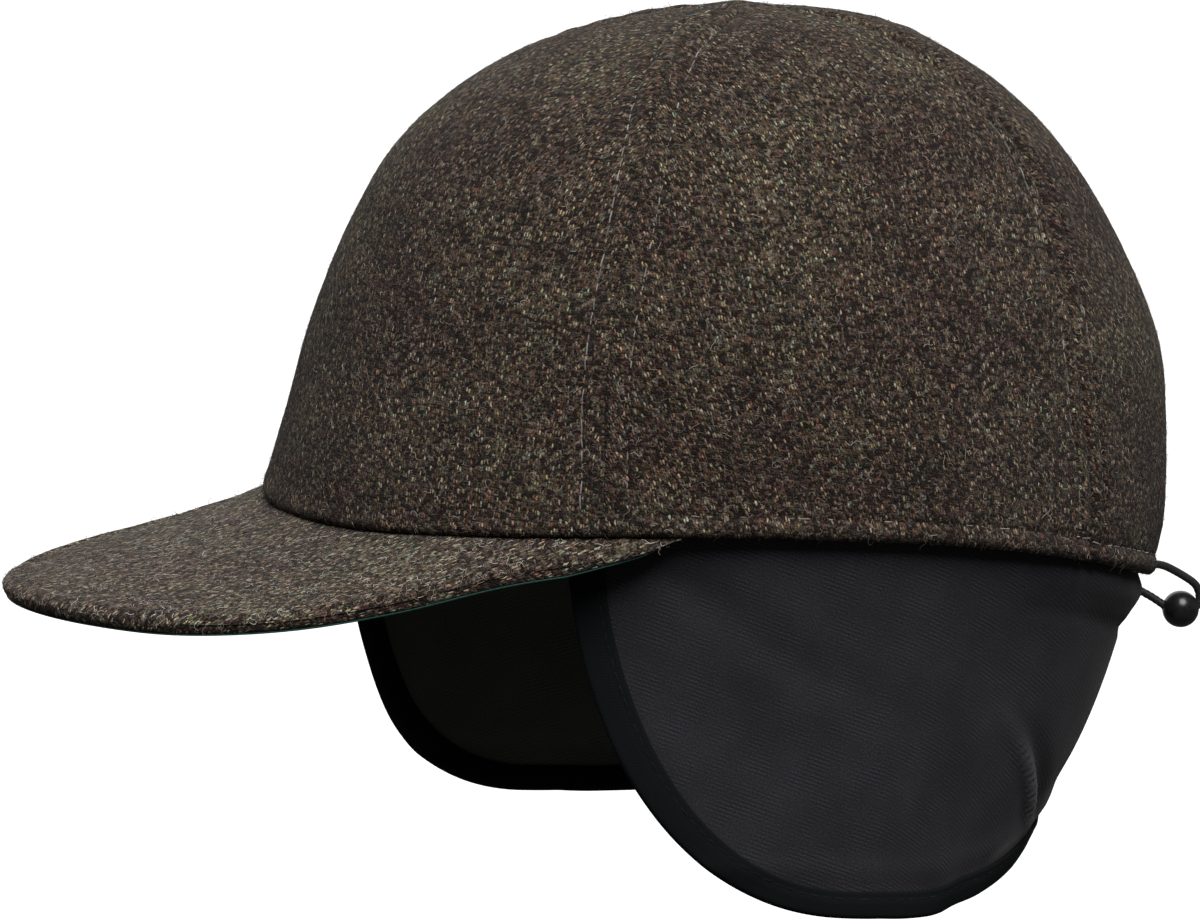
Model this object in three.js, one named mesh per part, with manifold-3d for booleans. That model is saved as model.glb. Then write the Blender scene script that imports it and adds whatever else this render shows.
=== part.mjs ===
// A duckbill cap: a five-panel wool crown with a short peak, a stretch ear band that
// hangs below the hem, and an elastic drawcord with a bead at the back.
// Millimetres. +X is the wearer's left, -Y is the front and +Z is up. The origin is
// the middle of the head opening at the height of the hem.
import * as THREE from 'three';
import { mergeVertices } from 'three/addons/utils/BufferGeometryUtils.js';
import Module from 'manifold-3d';

// ---- driving dimensions ----
const gap = 0.3; // clearance between neighbouring pieces
const crownHeight = 117; // top of the crown
const crownSetback = 6.5; // how far the top sits behind the middle of the opening
const hemTilt = 12.6; // how far the hem rises at the front and falls at the back
const hemWave = -5.6; // how far the hem rises at the temples and sides
const squareness = 2.15; // plan roundness of the head opening, where 2 is an ellipse
const crownCloth = 2.2; // wool with its backing
const hemCloth = 3; // the same where the hem is turned in
const hemDepth = 5; // height of the turned hem
const seamDip = 0.7; // how far a panel rolls in at its seams
const seamShoulder = 2.4; // width of that roll
const peakAngle = 65; // where the peak meets the hem, from the front
const peakThickness = 3.4; // stiffened peak without its lining
const peakShoulder = 3.6; // width of the rounded edge of the peak
const peakSeat = 1; // how far the peak's root lies under the hem
const peakHollow = 0.035; // dip of the peak between root and edge, as a share of its length
const liningCloth = 1; // cloth under the peak
const liningInset = 0.9; // how far the lining stops short of the peak's edge
const bandCloth = 1.4; // stretch cloth of the ear band
const bandTuck = 12; // how far the band is tucked up inside the hem
const bandFrontAngle = 46; // front edge of the band at the temple
const bandLowAngle = 85; // where the band hangs lowest, by the ear
const bandDrop = 83; // its depth there
const napeDrop = 52; // its depth at the middle of the back
const earShare = 0.42; // share of the band's edge that lies ahead of the lowest point
const bindingWidth = 6.4; // tape folded over the free edge of the band
const bindingCloth = 0.8; // its thickness
const cordDiameter = 2; // elastic drawcord
const beadDiameter = 8.8; // bead that slides on it

// Crown sections, from the hem (lift 0) to the top (lift 1): the reach to the front,
// to the back and to each side, and the angles of the two seams on each side.
const crownSections = [
  { lift: 0, front: 104, back: 104, half: 86.2, frontSeam: 54.5, sideSeam: 122 },
  { lift: 0.12, front: 100.4, back: 106.5, half: 85.7, frontSeam: 53.5, sideSeam: 121.5 },
  { lift: 0.25, front: 96.3, back: 107.2, half: 84.3, frontSeam: 52, sideSeam: 120 },
  { lift: 0.4, front: 91.8, back: 105.6, half: 81.5, frontSeam: 51.5, sideSeam: 119.5 },
  { lift: 0.55, front: 85.7, back: 97.8, half: 76.1, frontSeam: 52, sideSeam: 121.5 },
  { lift: 0.7, front: 77.2, back: 85.7, half: 67.5, frontSeam: 52.5, sideSeam: 125.5 },
  { lift: 0.82, front: 64.9, back: 71.3, half: 56.3, frontSeam: 51.5, sideSeam: 129 },
  { lift: 0.92, front: 44.9, back: 52.9, half: 40.2, frontSeam: 48.5, sideSeam: 133 },
  { lift: 0.975, front: 23.1, back: 34.5, half: 23.6, frontSeam: 44, sideSeam: 137 },
  { lift: 1, front: 0, back: 0, half: 0, frontSeam: 42, sideSeam: 140 },
];

// Left half of the peak's free edge, on its upper face, from the middle of the front.
const peakEdge = [
  { x: 0, y: -169, z: -5 },
  { x: 24, y: -164, z: -5.3 },
  { x: 44, y: -151, z: -5.6 },
  { x: 57, y: -131, z: -4.3 },
  { x: 62.5, y: -108, z: -1.4 },
  { x: 66.5, y: -82, z: 3.4 },
];

// Ear band sections, from the strip tucked up inside the hem downwards: the reach to
// the front, to the back and to each side.
const bandSections = [
  { drop: -12, front: 90.2, back: 101, half: 81.3 },
  { drop: 0, front: 90.5, back: 99.8, half: 81.9 },
  { drop: 20, front: 90.3, back: 92.6, half: 81.4 },
  { drop: 40, front: 90.3, back: 81.5, half: 82.2 },
  { drop: 60, front: 90.5, back: 66, half: 82.6 },
  { drop: 90, front: 91, back: 43.5, half: 82.4 },
];

// Route of the drawcord: out of the band at the middle of the back, through the bead,
// and back into the band.
const cordRoute = [
  [7, 99, -21.2],
  [7, 102.4, -21],
  [6.8, 106, -20.1],
  [6.3, 110, -18.9],
  [5.6, 114, -18.4],
  [4.8, 118, -19.1],
  [3.9, 121.9, -20.8],
  [3.2, 127.7, -24.3],
  [3, 128.9, -25.8],
  [2.8, 129.5, -27.6],
  [2.5, 129.3, -29.5],
  [2, 128.2, -31],
  [1.4, 126.7, -31.9],
  [0.7, 125, -31.9],
  [0.1, 123.8, -31.5],
  [-1.2, 121.3, -29.3],
  [-2.6, 118.5, -27.3],
  [-4, 115.4, -25.5],
  [-5.4, 111.8, -23.6],
  [-6.5, 107.6, -22.6],
  [-7, 103.6, -21.8],
  [-7, 99, -21.2],
];
const beadPlace = { x: 0.8, y: 125.5, z: -30.7 };

const looks = {
  tweed: { color: 0x3a302b, roughness: 0.95, metalness: 0 },
  peakLining: { color: 0x24594a, roughness: 0.9, metalness: 0 },
  softshell: { color: 0x23242a, roughness: 0.85, metalness: 0 },
  bindingTape: { color: 0x0f1011, roughness: 0.9, metalness: 0 },
  cord: { color: 0x141414, roughness: 0.7, metalness: 0 },
  bead: { color: 0x101113, roughness: 0.35, metalness: 0 },
};

// ---- helpers ----
const radians = THREE.MathUtils.degToRad;
const mix = THREE.MathUtils.lerp;

// Smooth value of one column of a table at a place in its key column.
function readTable(rows, key, column, place) {
  const last = rows.length - 1;
  let row = 0;
  while (row < last - 1 && rows[row + 1][key] < place) row += 1;
  const slope = (k) => {
    const before = rows[Math.max(k - 1, 0)];
    const after = rows[Math.min(k + 1, last)];
    return (after[column] - before[column]) / (after[key] - before[key]);
  };
  const span = rows[row + 1][key] - rows[row][key];
  const t = (place - rows[row][key]) / span;
  const startWeight = (1 + 2 * t) * (1 - t) ** 2;
  const endWeight = t * t * (3 - 2 * t);
  const start = rows[row][column] * startWeight + slope(row) * span * t * (1 - t) ** 2;
  const end = rows[row + 1][column] * endWeight - slope(row + 1) * span * t * t * (1 - t);
  return start + end;
}

// Point of a rounded plan outline at an angle from the front.
function planPoint(reach, angle, roundness) {
  const sine = Math.sin(radians(angle));
  const cosine = Math.cos(radians(angle));
  const power = 2 / roundness;
  const along = cosine > 0 ? reach.front : reach.back;
  return {
    x: reach.half * Math.sign(sine) * Math.abs(sine) ** power,
    y: -along * Math.sign(cosine) * Math.abs(cosine) ** power,
  };
}

// Tangents and outward normal of a surface given by two parameters.
function surfaceFrame(surface, a, b) {
  const small = 1e-4;
  const point = surface(a, b);
  const alongA = surface(a + small, b).sub(point).divideScalar(small);
  const alongB = surface(a, b + small).sub(point).divideScalar(small);
  const normal = new THREE.Vector3().crossVectors(alongA, alongB).normalize();
  const outward = new THREE.Vector3(point.x, point.y, Math.max(point.z, 0));
  if (normal.dot(outward) < 0) normal.negate();
  return { point, alongA, alongB, normal };
}

function pointUnder(surface, a, b, depth) {
  const { point, normal } = surfaceFrame(surface, a, b);
  return point.addScaledVector(normal, -depth);
}

// Closed body between two grids of points of the same size.
function bodyBetween(outer, inner) {
  const rows = outer.length;
  const columns = outer[0].length;
  const positions = [...outer.flat(), ...inner.flat()].flatMap((p) => [p.x, p.y, p.z]);
  const faces = [];
  const quad = (a, b, c, d) => faces.push(a, b, c, a, c, d);
  const out = (i, j) => i * columns + j;
  const inn = (i, j) => rows * columns + i * columns + j;
  for (let i = 0; i < rows - 1; i += 1) {
    for (let j = 0; j < columns - 1; j += 1) {
      quad(out(i, j), out(i, j + 1), out(i + 1, j + 1), out(i + 1, j));
      quad(inn(i, j), inn(i + 1, j), inn(i + 1, j + 1), inn(i, j + 1));
    }
    quad(out(i, 0), out(i + 1, 0), inn(i + 1, 0), inn(i, 0));
    quad(out(i + 1, columns - 1), out(i, columns - 1), inn(i, columns - 1), inn(i + 1, columns - 1));
  }
  for (let j = 0; j < columns - 1; j += 1) {
    quad(out(0, j + 1), out(0, j), inn(0, j), inn(0, j + 1));
    quad(out(rows - 1, j), out(rows - 1, j + 1), inn(rows - 1, j + 1), inn(rows - 1, j));
  }
  const geometry = new THREE.BufferGeometry();
  geometry.setAttribute('position', new THREE.Float32BufferAttribute(positions, 3));
  geometry.setIndex(signedVolume(positions, faces) < 0 ? faces.reverse() : faces);
  geometry.computeVertexNormals();
  return geometry;
}

function signedVolume(positions, faces) {
  const corner = (k) => new THREE.Vector3().fromArray(positions, faces[k] * 3);
  let total = 0;
  for (let k = 0; k < faces.length; k += 3) {
    total += corner(k).dot(corner(k + 1).cross(corner(k + 2)));
  }
  return total;
}

const cap = new THREE.Group();

function addPiece(name, geometry, look) {
  const mesh = new THREE.Mesh(geometry, new THREE.MeshStandardMaterial(look));
  mesh.name = name;
  cap.add(mesh);
}

// ---- crown ----
const climb = (lift) => 1 - Math.sqrt(1 - lift); // even steps over the dome
const liftAt = (climbed) => 1 - (1 - climbed) ** 2;
const crownRows = crownSections.map((row) => ({ ...row, climbed: climb(row.lift) }));
const crownColumn = (column, climbed) => readTable(crownRows, 'climbed', column, climbed);

function hemHeight(angle) {
  return hemTilt * Math.cos(radians(angle)) + hemWave * Math.cos(radians(2 * angle));
}

function crownSurface(angle, climbed) {
  const reach = {
    front: crownColumn('front', climbed),
    back: crownColumn('back', climbed),
    half: crownColumn('half', climbed),
  };
  const lift = liftAt(climbed);
  const plan = planPoint(reach, angle, mix(squareness, 2, lift));
  const height = mix(hemHeight(angle), crownHeight, lift);
  return new THREE.Vector3(plan.x, plan.y + crownSetback * climbed, height);
}

// One panel from seam to seam. Each seam is a function from the climb to an angle.
function crownPanel(startSeam, endSeam, columns) {
  const hemFold = climb(hemDepth / crownHeight);
  const top = 0.994;
  const steps = 13;
  const levels = [0, hemFold, hemFold * 1.12];
  for (let k = 1; k <= steps; k += 1) levels.push(mix(hemFold, top, k / steps));
  const outer = [];
  const inner = [];
  for (const level of levels) {
    const radius = Math.min(crownColumn('half', level), crownColumn('front', level));
    const degreesPerMm = 180 / (Math.PI * radius);
    const from = startSeam(level) + (gap / 2) * degreesPerMm;
    const to = endSeam(level) - (gap / 2) * degreesPerMm;
    const shoulder = Math.min((seamShoulder * degreesPerMm) / (to - from), 0.3);
    const shares = [0];
    for (let k = 0; k <= columns; k += 1) shares.push(mix(shoulder, 1 - shoulder, k / columns));
    shares.push(1);
    const cloth = level <= hemFold ? hemCloth : crownCloth;
    const dip = Math.min(seamDip, radius * 0.1);
    const isSeam = (share) => share === 0 || share === 1;
    outer.push(shares.map((share) => {
      return pointUnder(crownSurface, mix(from, to, share), level, isSeam(share) ? dip : 0);
    }));
    inner.push(shares.map((share) => pointUnder(crownSurface, mix(from, to, share), level, cloth)));
  }
  return bodyBetween(outer, inner);
}

const leftFrontSeam = (climbed) => crownColumn('frontSeam', climbed);
const leftSideSeam = (climbed) => crownColumn('sideSeam', climbed);
const rightFrontSeam = (climbed) => 360 - leftFrontSeam(climbed);
const rightSideSeam = (climbed) => 360 - leftSideSeam(climbed);
const backSeam = () => 180;
const frontStart = (climbed) => -leftFrontSeam(climbed);

addPiece('crown_panel_front', crownPanel(frontStart, leftFrontSeam, 14), looks.tweed);
addPiece('crown_panel_side_left', crownPanel(leftFrontSeam, leftSideSeam, 9), looks.tweed);
addPiece('crown_panel_back_left', crownPanel(leftSideSeam, backSeam, 9), looks.tweed);
addPiece('crown_panel_back_right', crownPanel(backSeam, rightSideSeam, 9), looks.tweed);
addPiece('crown_panel_side_right', crownPanel(rightSideSeam, rightFrontSeam, 9), looks.tweed);

// ---- peak ----
// Inner edge of the peak, under the hem, at a share from the right temple to the left.
function peakRoot(share) {
  const angle = mix(-peakAngle, peakAngle, share);
  const point = crownSurface(angle, 0);
  const inset = 1.5;
  const length = Math.hypot(point.x, point.y);
  return new THREE.Vector3(
    point.x * (1 - inset / length),
    point.y * (1 - inset / length),
    point.z - peakSeat,
  );
}

function peakCorner(side) {
  const corner = crownSurface(side * peakAngle, 0);
  return new THREE.Vector3(corner.x + side * 1.2, corner.y, corner.z - 1.2);
}

const leftEdge = peakEdge.map((row) => new THREE.Vector3(row.x, row.y, row.z));
const rightEdge = leftEdge.slice(1).map((p) => new THREE.Vector3(-p.x, p.y, p.z)).reverse();
const peakRim = new THREE.CatmullRomCurve3([
  peakCorner(-1), ...rightEdge, ...leftEdge, peakCorner(1),
], false, 'centripetal');

// Layer of the peak: its upper face lies a depth below the peak's own, and its edge
// stops an inset short of the peak's. The table rounds the edge: how far each line
// is from the edge, and how far it falls on the upper and rises on the lower face.
function peakLayer(depth, thickness, inset, edgeRounding) {
  const columns = 30;
  const endShare = 0.12;
  const upper = [];
  const lower = [];
  for (let j = 0; j <= columns; j += 1) {
    const fromEnd = Math.min(j, columns - j) / columns / endShare;
    const fullness = mix(0.25, 1, Math.min(fromEnd, 1));
    const root = peakRoot(j / columns);
    const rim = peakRim.getPointAt(j / columns);
    const length = root.distanceTo(rim);
    const lines = [0, 0.25, 0.5, 0.75].map((share) => ({ share, fall: 0, rise: 0 }));
    const squeeze = Math.min(1, (length * 0.24) / (edgeRounding[0].away + inset));
    for (const row of edgeRounding) {
      const away = (row.away + inset) * squeeze;
      lines.push({ share: 1 - away / length, fall: row.fall, rise: row.rise });
    }
    const place = (share, below) => {
      const point = root.clone().lerp(rim, share);
      const dip = 4 * peakHollow * length * share * (1 - share);
      point.z -= below * fullness + dip;
      return point;
    };
    upper.push(lines.map((line) => place(line.share, depth + line.fall)));
    lower.push(lines.map((line) => place(line.share, depth + thickness - line.rise)));
  }
  return bodyBetween(upper, lower);
}

const peakRounding = [
  { away: peakShoulder, fall: 0, rise: 0 },
  { away: 1.6, fall: 0.35, rise: 0 },
  { away: 0.5, fall: 1, rise: 0.1 },
  { away: 0, fall: 1.9, rise: 0.6 },
];
const liningRounding = [
  { away: 2, fall: 0, rise: 0 },
  { away: 0, fall: 0.2, rise: 0.2 },
];
addPiece('peak_cover', peakLayer(0, peakThickness, 0, peakRounding), looks.tweed);
const liningDepth = peakThickness + gap;
addPiece(
  'peak_lining',
  peakLayer(liningDepth, liningCloth, liningInset, liningRounding),
  looks.peakLining,
);

// ---- ear band ----
// Outer face of the band at an angle and a drop below the hem.
function bandSurface(angle, drop) {
  const reach = {
    front: readTable(bandSections, 'drop', 'front', drop),
    back: readTable(bandSections, 'drop', 'back', drop),
    half: readTable(bandSections, 'drop', 'half', drop),
  };
  const plan = planPoint(reach, angle, squareness);
  return new THREE.Vector3(plan.x, plan.y, hemHeight(angle) - drop);
}

// Free edge of the band, from the left temple (0) to the middle of the back (1): a
// quarter of an ellipse to the lowest point, then a slow rise to the nape.
function bandEdge(share) {
  if (share < earShare) {
    const turn = (share / earShare) * (Math.PI / 2);
    return {
      angle: bandLowAngle - (bandLowAngle - bandFrontAngle) * Math.cos(turn),
      drop: bandDrop * Math.sin(turn),
    };
  }
  const rest = (share - earShare) / (1 - earShare);
  const rise = (1 - Math.cos(Math.PI * rest)) / 2;
  return { angle: mix(bandLowAngle, 180, rest), drop: mix(bandDrop, napeDrop, rise) };
}

const bandTop = (share) => mix(bandFrontAngle, 180, share ** 1.4);
// The same from temple to temple, round the back: whole runs from 0 to 2.
const mirrored = (read) => (whole) => (whole <= 1 ? read(whole) : read(2 - whole));
const sidedAngle = (whole, angle) => (whole <= 1 ? angle : 360 - angle);

function earBand() {
  const columns = 52;
  const rows = [0, 0.07, 0.14, 0.32, 0.5, 0.68, 0.84, 1];
  const outer = [];
  const inner = [];
  for (let j = 0; j <= columns; j += 1) {
    const whole = (2 * j) / columns;
    const edge = mirrored(bandEdge)(whole);
    const top = mirrored(bandTop)(whole);
    const places = rows.map((row) => ({
      angle: sidedAngle(whole, mix(top, edge.angle, row)),
      drop: mix(-bandTuck, edge.drop, row),
    }));
    outer.push(places.map((place) => bandSurface(place.angle, place.drop)));
    inner.push(places.map((place) => pointUnder(bandSurface, place.angle, place.drop, bandCloth)));
  }
  return bodyBetween(outer, inner);
}
addPiece('ear_band', earBand(), looks.softshell);

// Tape folded over the free edge. Its section is a U round the band's edge: how far
// each corner lies in from the edge, and how deep it lies under the band's outer face.
function bandBinding() {
  const outside = -gap - bindingCloth;
  const inside = bandCloth + gap + bindingCloth;
  const outerSection = [
    { inFrom: bindingWidth, depth: outside },
    { inFrom: -gap - 0.3, depth: outside },
    { inFrom: outside, depth: bandCloth / 2 },
    { inFrom: -gap - 0.3, depth: inside },
    { inFrom: bindingWidth, depth: inside },
  ];
  const innerSection = [
    { inFrom: bindingWidth, depth: -gap },
    { inFrom: -gap, depth: -gap },
    { inFrom: -gap * 1.1, depth: bandCloth / 2 },
    { inFrom: -gap, depth: bandCloth + gap },
    { inFrom: bindingWidth, depth: bandCloth + gap },
  ];
  const columns = 48;
  const startShare = 0.012;
  const outer = [];
  const inner = [];
  for (let j = 0; j <= columns; j += 1) {
    const whole = mix(startShare, 2 - startShare, j / columns);
    const edge = mirrored(bandEdge)(whole);
    const ahead = mirrored(bandEdge)(Math.min(whole + 1e-3, 2));
    const angle = sidedAngle(whole, edge.angle);
    const frame = surfaceFrame(bandSurface, angle, edge.drop);
    const next = bandSurface(sidedAngle(whole, ahead.angle), ahead.drop);
    const along = next.sub(frame.point).normalize();
    const inward = new THREE.Vector3().crossVectors(frame.normal, along).normalize();
    if (inward.z < 0 && Math.abs(inward.z) > 0.3) inward.negate();
    const place = (corner) => {
      const { a, b } = slide(frame, inward, corner.inFrom);
      return pointUnder(bandSurface, angle + a, edge.drop + b, corner.depth);
    };
    outer.push(outerSection.map(place));
    inner.push(innerSection.map(place));
  }
  return bodyBetween(outer, inner);
}

// Change of the two surface parameters that moves a point along a direction.
function slide(frame, direction, distance) {
  const aa = frame.alongA.dot(frame.alongA);
  const ab = frame.alongA.dot(frame.alongB);
  const bb = frame.alongB.dot(frame.alongB);
  const onA = frame.alongA.dot(direction) * distance;
  const onB = frame.alongB.dot(direction) * distance;
  const scale = 1 / (aa * bb - ab * ab);
  return { a: (onA * bb - onB * ab) * scale, b: (onB * aa - onA * ab) * scale };
}
addPiece('band_binding', bandBinding(), looks.bindingTape);

// ---- drawcord and bead ----
const cordCurve = new THREE.CatmullRomCurve3(cordRoute.map((p) => new THREE.Vector3(...p)));

function tubeAlongCord(radius, steps) {
  const section = new THREE.Shape();
  const sides = 8;
  for (let k = 0; k < sides; k += 1) {
    const turn = ((k + 0.5) / sides) * 2 * Math.PI;
    const corner = [radius * Math.cos(turn), radius * Math.sin(turn)];
    if (k === 0) section.moveTo(...corner);
    else section.lineTo(...corner);
  }
  section.closePath();
  return new THREE.ExtrudeGeometry(section, {
    steps,
    extrudePath: cordCurve,
    bevelEnabled: false,
  });
}
addPiece('drawcord', tubeAlongCord(cordDiameter / 2, 34), looks.cord);

const wasm = await Module();
wasm.setup();

function solidOf(geometry) {
  const bare = geometry.clone();
  bare.deleteAttribute('normal');
  bare.deleteAttribute('uv');
  const merged = mergeVertices(bare, 1e-4);
  return new wasm.Manifold(new wasm.Mesh({
    numProp: 3,
    vertProperties: merged.attributes.position.array,
    triVerts: merged.index.array,
  }));
}

function cordBead() {
  const ball = new THREE.SphereGeometry(beadDiameter / 2, 18, 12);
  ball.translate(beadPlace.x, beadPlace.y, beadPlace.z);
  const bore = tubeAlongCord(cordDiameter / 2 + gap, 60);
  const cut = solidOf(ball).subtract(solidOf(bore)).getMesh();
  const geometry = new THREE.BufferGeometry();
  geometry.setAttribute('position', new THREE.BufferAttribute(cut.vertProperties, 3));
  geometry.setIndex(new THREE.BufferAttribute(cut.triVerts, 1));
  geometry.computeVertexNormals();
  return geometry;
}
addPiece('cord_bead', cordBead(), looks.bead);

export default cap;
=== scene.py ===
import math

import bpy
import numpy as np
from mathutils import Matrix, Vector, noise


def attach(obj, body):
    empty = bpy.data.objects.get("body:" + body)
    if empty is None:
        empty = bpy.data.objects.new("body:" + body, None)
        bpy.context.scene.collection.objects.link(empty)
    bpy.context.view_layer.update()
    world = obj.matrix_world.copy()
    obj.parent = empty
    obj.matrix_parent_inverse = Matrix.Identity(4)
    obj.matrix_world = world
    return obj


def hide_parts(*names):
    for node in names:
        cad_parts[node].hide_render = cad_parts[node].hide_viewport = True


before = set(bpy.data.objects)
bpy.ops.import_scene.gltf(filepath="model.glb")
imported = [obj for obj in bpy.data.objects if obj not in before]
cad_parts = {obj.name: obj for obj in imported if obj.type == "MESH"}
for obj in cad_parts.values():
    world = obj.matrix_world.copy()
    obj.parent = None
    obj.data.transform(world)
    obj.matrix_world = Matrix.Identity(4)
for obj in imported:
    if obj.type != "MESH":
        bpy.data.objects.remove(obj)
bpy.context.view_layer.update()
print("frame loaded")

# Winter cap: five wool panels, a stiff peak, a stretch ear band and a drawcord.
# Everything is in metres. +X is the wearer's left, -Y the front, +Z up.
mm = 0.001

camera = {
    "azimuth": 64.0,
    "elevation": 8.1,
    "aim": (-0.0018, -0.0273, 0.0140),
    "distance": 1.4552,
    "lens": 191.84,
}


def makeCamera():
    turn = math.radians(camera["azimuth"])
    rise = math.radians(camera["elevation"])
    away = Vector((math.sin(turn) * math.cos(rise), -math.cos(turn) * math.cos(rise), math.sin(rise)))
    data = bpy.data.cameras.new("camera")
    data.lens = camera["lens"]
    data.sensor_width = 36
    data.clip_start = 0.05
    data.clip_end = 60
    eye = bpy.data.objects.new("camera", data)
    eye.location = Vector(camera["aim"]) + away * camera["distance"]
    eye.rotation_euler = (math.pi / 2 - rise, 0, turn)
    bpy.context.collection.objects.link(eye)
    bpy.context.scene.camera = eye


makeCamera()
print("camera set")


def readTable(rows, key, column, place):
    # smooth value of one column of a table at a place in its key column
    x = np.array([row[key] for row in rows])
    y = np.array([row[column] for row in rows])
    last = len(x) - 1
    before = np.maximum(np.arange(last + 1) - 1, 0)
    after = np.minimum(np.arange(last + 1) + 1, last)
    slope = (y[after] - y[before]) / (x[after] - x[before])
    place = np.asarray(place, float)
    row = np.clip(np.searchsorted(x, place) - 1, 0, last - 1)
    span = x[row + 1] - x[row]
    t = (place - x[row]) / span
    start = y[row] * (1 + 2 * t) * (1 - t) ** 2 + slope[row] * span * t * (1 - t) ** 2
    end = y[row + 1] * t * t * (3 - 2 * t) - slope[row + 1] * span * t * t * (1 - t)
    return start + end


def smoothPath(points, steps=24):
    # a curve through all the points, the same one that the cord and the peak's edge follow in the frame
    points = [np.array(point, float) for point in points]
    points = [2 * points[0] - points[1]] + points + [2 * points[-1] - points[-2]]
    made = []
    for k in range(1, len(points) - 2):
        p0, p1, p2, p3 = points[k - 1:k + 3]
        knots = [0.0]
        for a, b in ((p0, p1), (p1, p2), (p2, p3)):
            knots.append(knots[-1] + math.sqrt(np.linalg.norm(b - a)))
        t0, t1, t2, t3 = knots
        for t in np.linspace(t1, t2, steps, endpoint=False):
            a1 = (t1 - t) / (t1 - t0) * p0 + (t - t0) / (t1 - t0) * p1
            a2 = (t2 - t) / (t2 - t1) * p1 + (t - t1) / (t2 - t1) * p2
            a3 = (t3 - t) / (t3 - t2) * p2 + (t - t2) / (t3 - t2) * p3
            b1 = (t2 - t) / (t2 - t0) * a1 + (t - t0) / (t2 - t0) * a2
            b2 = (t3 - t) / (t3 - t1) * a2 + (t - t1) / (t3 - t1) * a3
            made.append((t2 - t) / (t2 - t1) * b1 + (t - t1) / (t2 - t1) * b2)
    made.append(points[-2])
    return np.array(made)


def evenly(path, count):
    # the same path with its points spread evenly along it
    along = lengthsAlong(path)
    places = np.linspace(0, along[-1], count)
    return np.stack([np.interp(places, along, path[:, k]) for k in range(3)], 1)


def lengthsAlong(path):
    return np.concatenate([[0], np.cumsum(np.linalg.norm(np.diff(path, axis=0), axis=1))])


def lengthsOver(rows):
    # the length over the cloth from its first row to every row, down each column of a grid
    steps = np.linalg.norm(np.diff(rows, axis=0), axis=2)
    return np.concatenate([np.zeros((1, rows.shape[1])), np.cumsum(steps, axis=0)])


def unit(vectors):
    return vectors / np.maximum(np.linalg.norm(vectors, axis=-1, keepdims=True), 1e-12)


def bump(distance, width):
    # a soft hill or groove: 1 at its middle, 0 past its width
    return np.exp(-(np.asarray(distance) / width) ** 2)


def softStep(low, high, value):
    t = np.clip((np.asarray(value, float) - low) / (high - low), 0, 1)
    return t * t * (3 - 2 * t)


def ripple(points, size, seed):
    # smooth cloth unevenness, from -1 to 1, with bumps about a size across
    flat = np.asarray(points).reshape(-1, 3) / size + seed * 7.31
    made = [noise.noise(Vector(point)) for point in flat]
    return np.array(made).reshape(np.asarray(points).shape[:-1])


def planPoint(front, back, half, angle, roundness):
    # point of a rounded plan outline at an angle from the front
    sine = np.sin(np.radians(angle))
    cosine = np.cos(np.radians(angle))
    power = 2 / roundness
    reach = np.where(cosine > 0, front, back)
    x = half * np.sign(sine) * np.abs(sine) ** power
    y = -reach * np.sign(cosine) * np.abs(cosine) ** power
    return x, y


def surfaceFrame(surface, a, b):
    # points of a surface with its outward normals and its two tangents
    a, b = np.broadcast_arrays(np.asarray(a, float), np.asarray(b, float))
    small = 1e-4
    point = surface(a, b)
    alongA = (surface(a + small, b) - point) / small
    alongB = (surface(a, b + small) - point) / small
    normal = unit(np.cross(alongA, alongB))
    outward = point.copy()
    outward[..., 2] = np.maximum(outward[..., 2], 0)
    normal = np.where((normal * outward).sum(-1, keepdims=True) < 0, -normal, normal)
    return point, normal, alongA, alongB


def newObject(name, points, faces, materials, faceMaterials=None, smooth=True):
    mesh = bpy.data.meshes.new(name)
    mesh.from_pydata(np.asarray(points).tolist(), [], [list(map(int, face)) for face in faces])
    for material in materials:
        mesh.materials.append(material)
    if faceMaterials is not None:
        mesh.polygons.foreach_set("material_index", np.asarray(faceMaterials, dtype=np.int32))
    mesh.polygons.foreach_set("use_smooth", np.full(len(mesh.polygons), smooth))
    mesh.update()
    made = bpy.data.objects.new(name, mesh)
    bpy.context.collection.objects.link(made)
    return made


def addUv(piece, values):
    # one place on the flat cloth for each vertex, in metres
    mesh = piece.data
    layer = mesh.uv_layers.new(name="cloth")
    corners = np.empty(len(mesh.loops), dtype=np.int32)
    mesh.loops.foreach_get("vertex_index", corners)
    layer.data.foreach_set("uv", np.asarray(values, dtype=np.float32)[corners].ravel())


def addValue(piece, name, values):
    layer = piece.data.attributes.new(name, "FLOAT", "POINT")
    layer.data.foreach_set("value", np.asarray(values, dtype=np.float32).ravel())


def clothBody(name, outer, inner, uv, materials, innerUv=None):
    # closed body between two grids of points. Outer faces and the faces round its edge take the first
    # material, and inner faces the second.
    rows, columns = outer.shape[:2]
    count = rows * columns
    index = np.arange(count).reshape(rows, columns)
    a, b, c, d = index[:-1, :-1], index[:-1, 1:], index[1:, 1:], index[1:, :-1]
    front = np.stack([a, b, c, d], -1).reshape(-1, 4)
    rear = np.stack([a, d, c, b], -1).reshape(-1, 4) + count
    sides = []
    for line in (index[0, :], index[-1, ::-1], index[::-1, 0], index[:, -1]):
        sides.append(np.stack([line[1:], line[:-1], line[:-1] + count, line[1:] + count], -1))
    faces = np.concatenate([front, rear, *sides])
    points = np.concatenate([outer.reshape(-1, 3), inner.reshape(-1, 3)])
    corners = points[faces]
    volume = (corners[:, 0] * np.cross(corners[:, 1], corners[:, 2])).sum()
    volume += (corners[:, 0] * np.cross(corners[:, 2], corners[:, 3])).sum()
    if volume < 0:
        faces = faces[:, ::-1]
    slots = np.zeros(len(faces), dtype=np.int32)
    if len(materials) > 1:
        slots[len(front):len(front) + len(rear)] = 1
    piece = newObject(name, points, faces, materials, slots)
    innerUv = uv if innerUv is None else innerUv
    addUv(piece, np.concatenate([uv.reshape(-1, 2), innerUv.reshape(-1, 2)]))
    return piece


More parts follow.
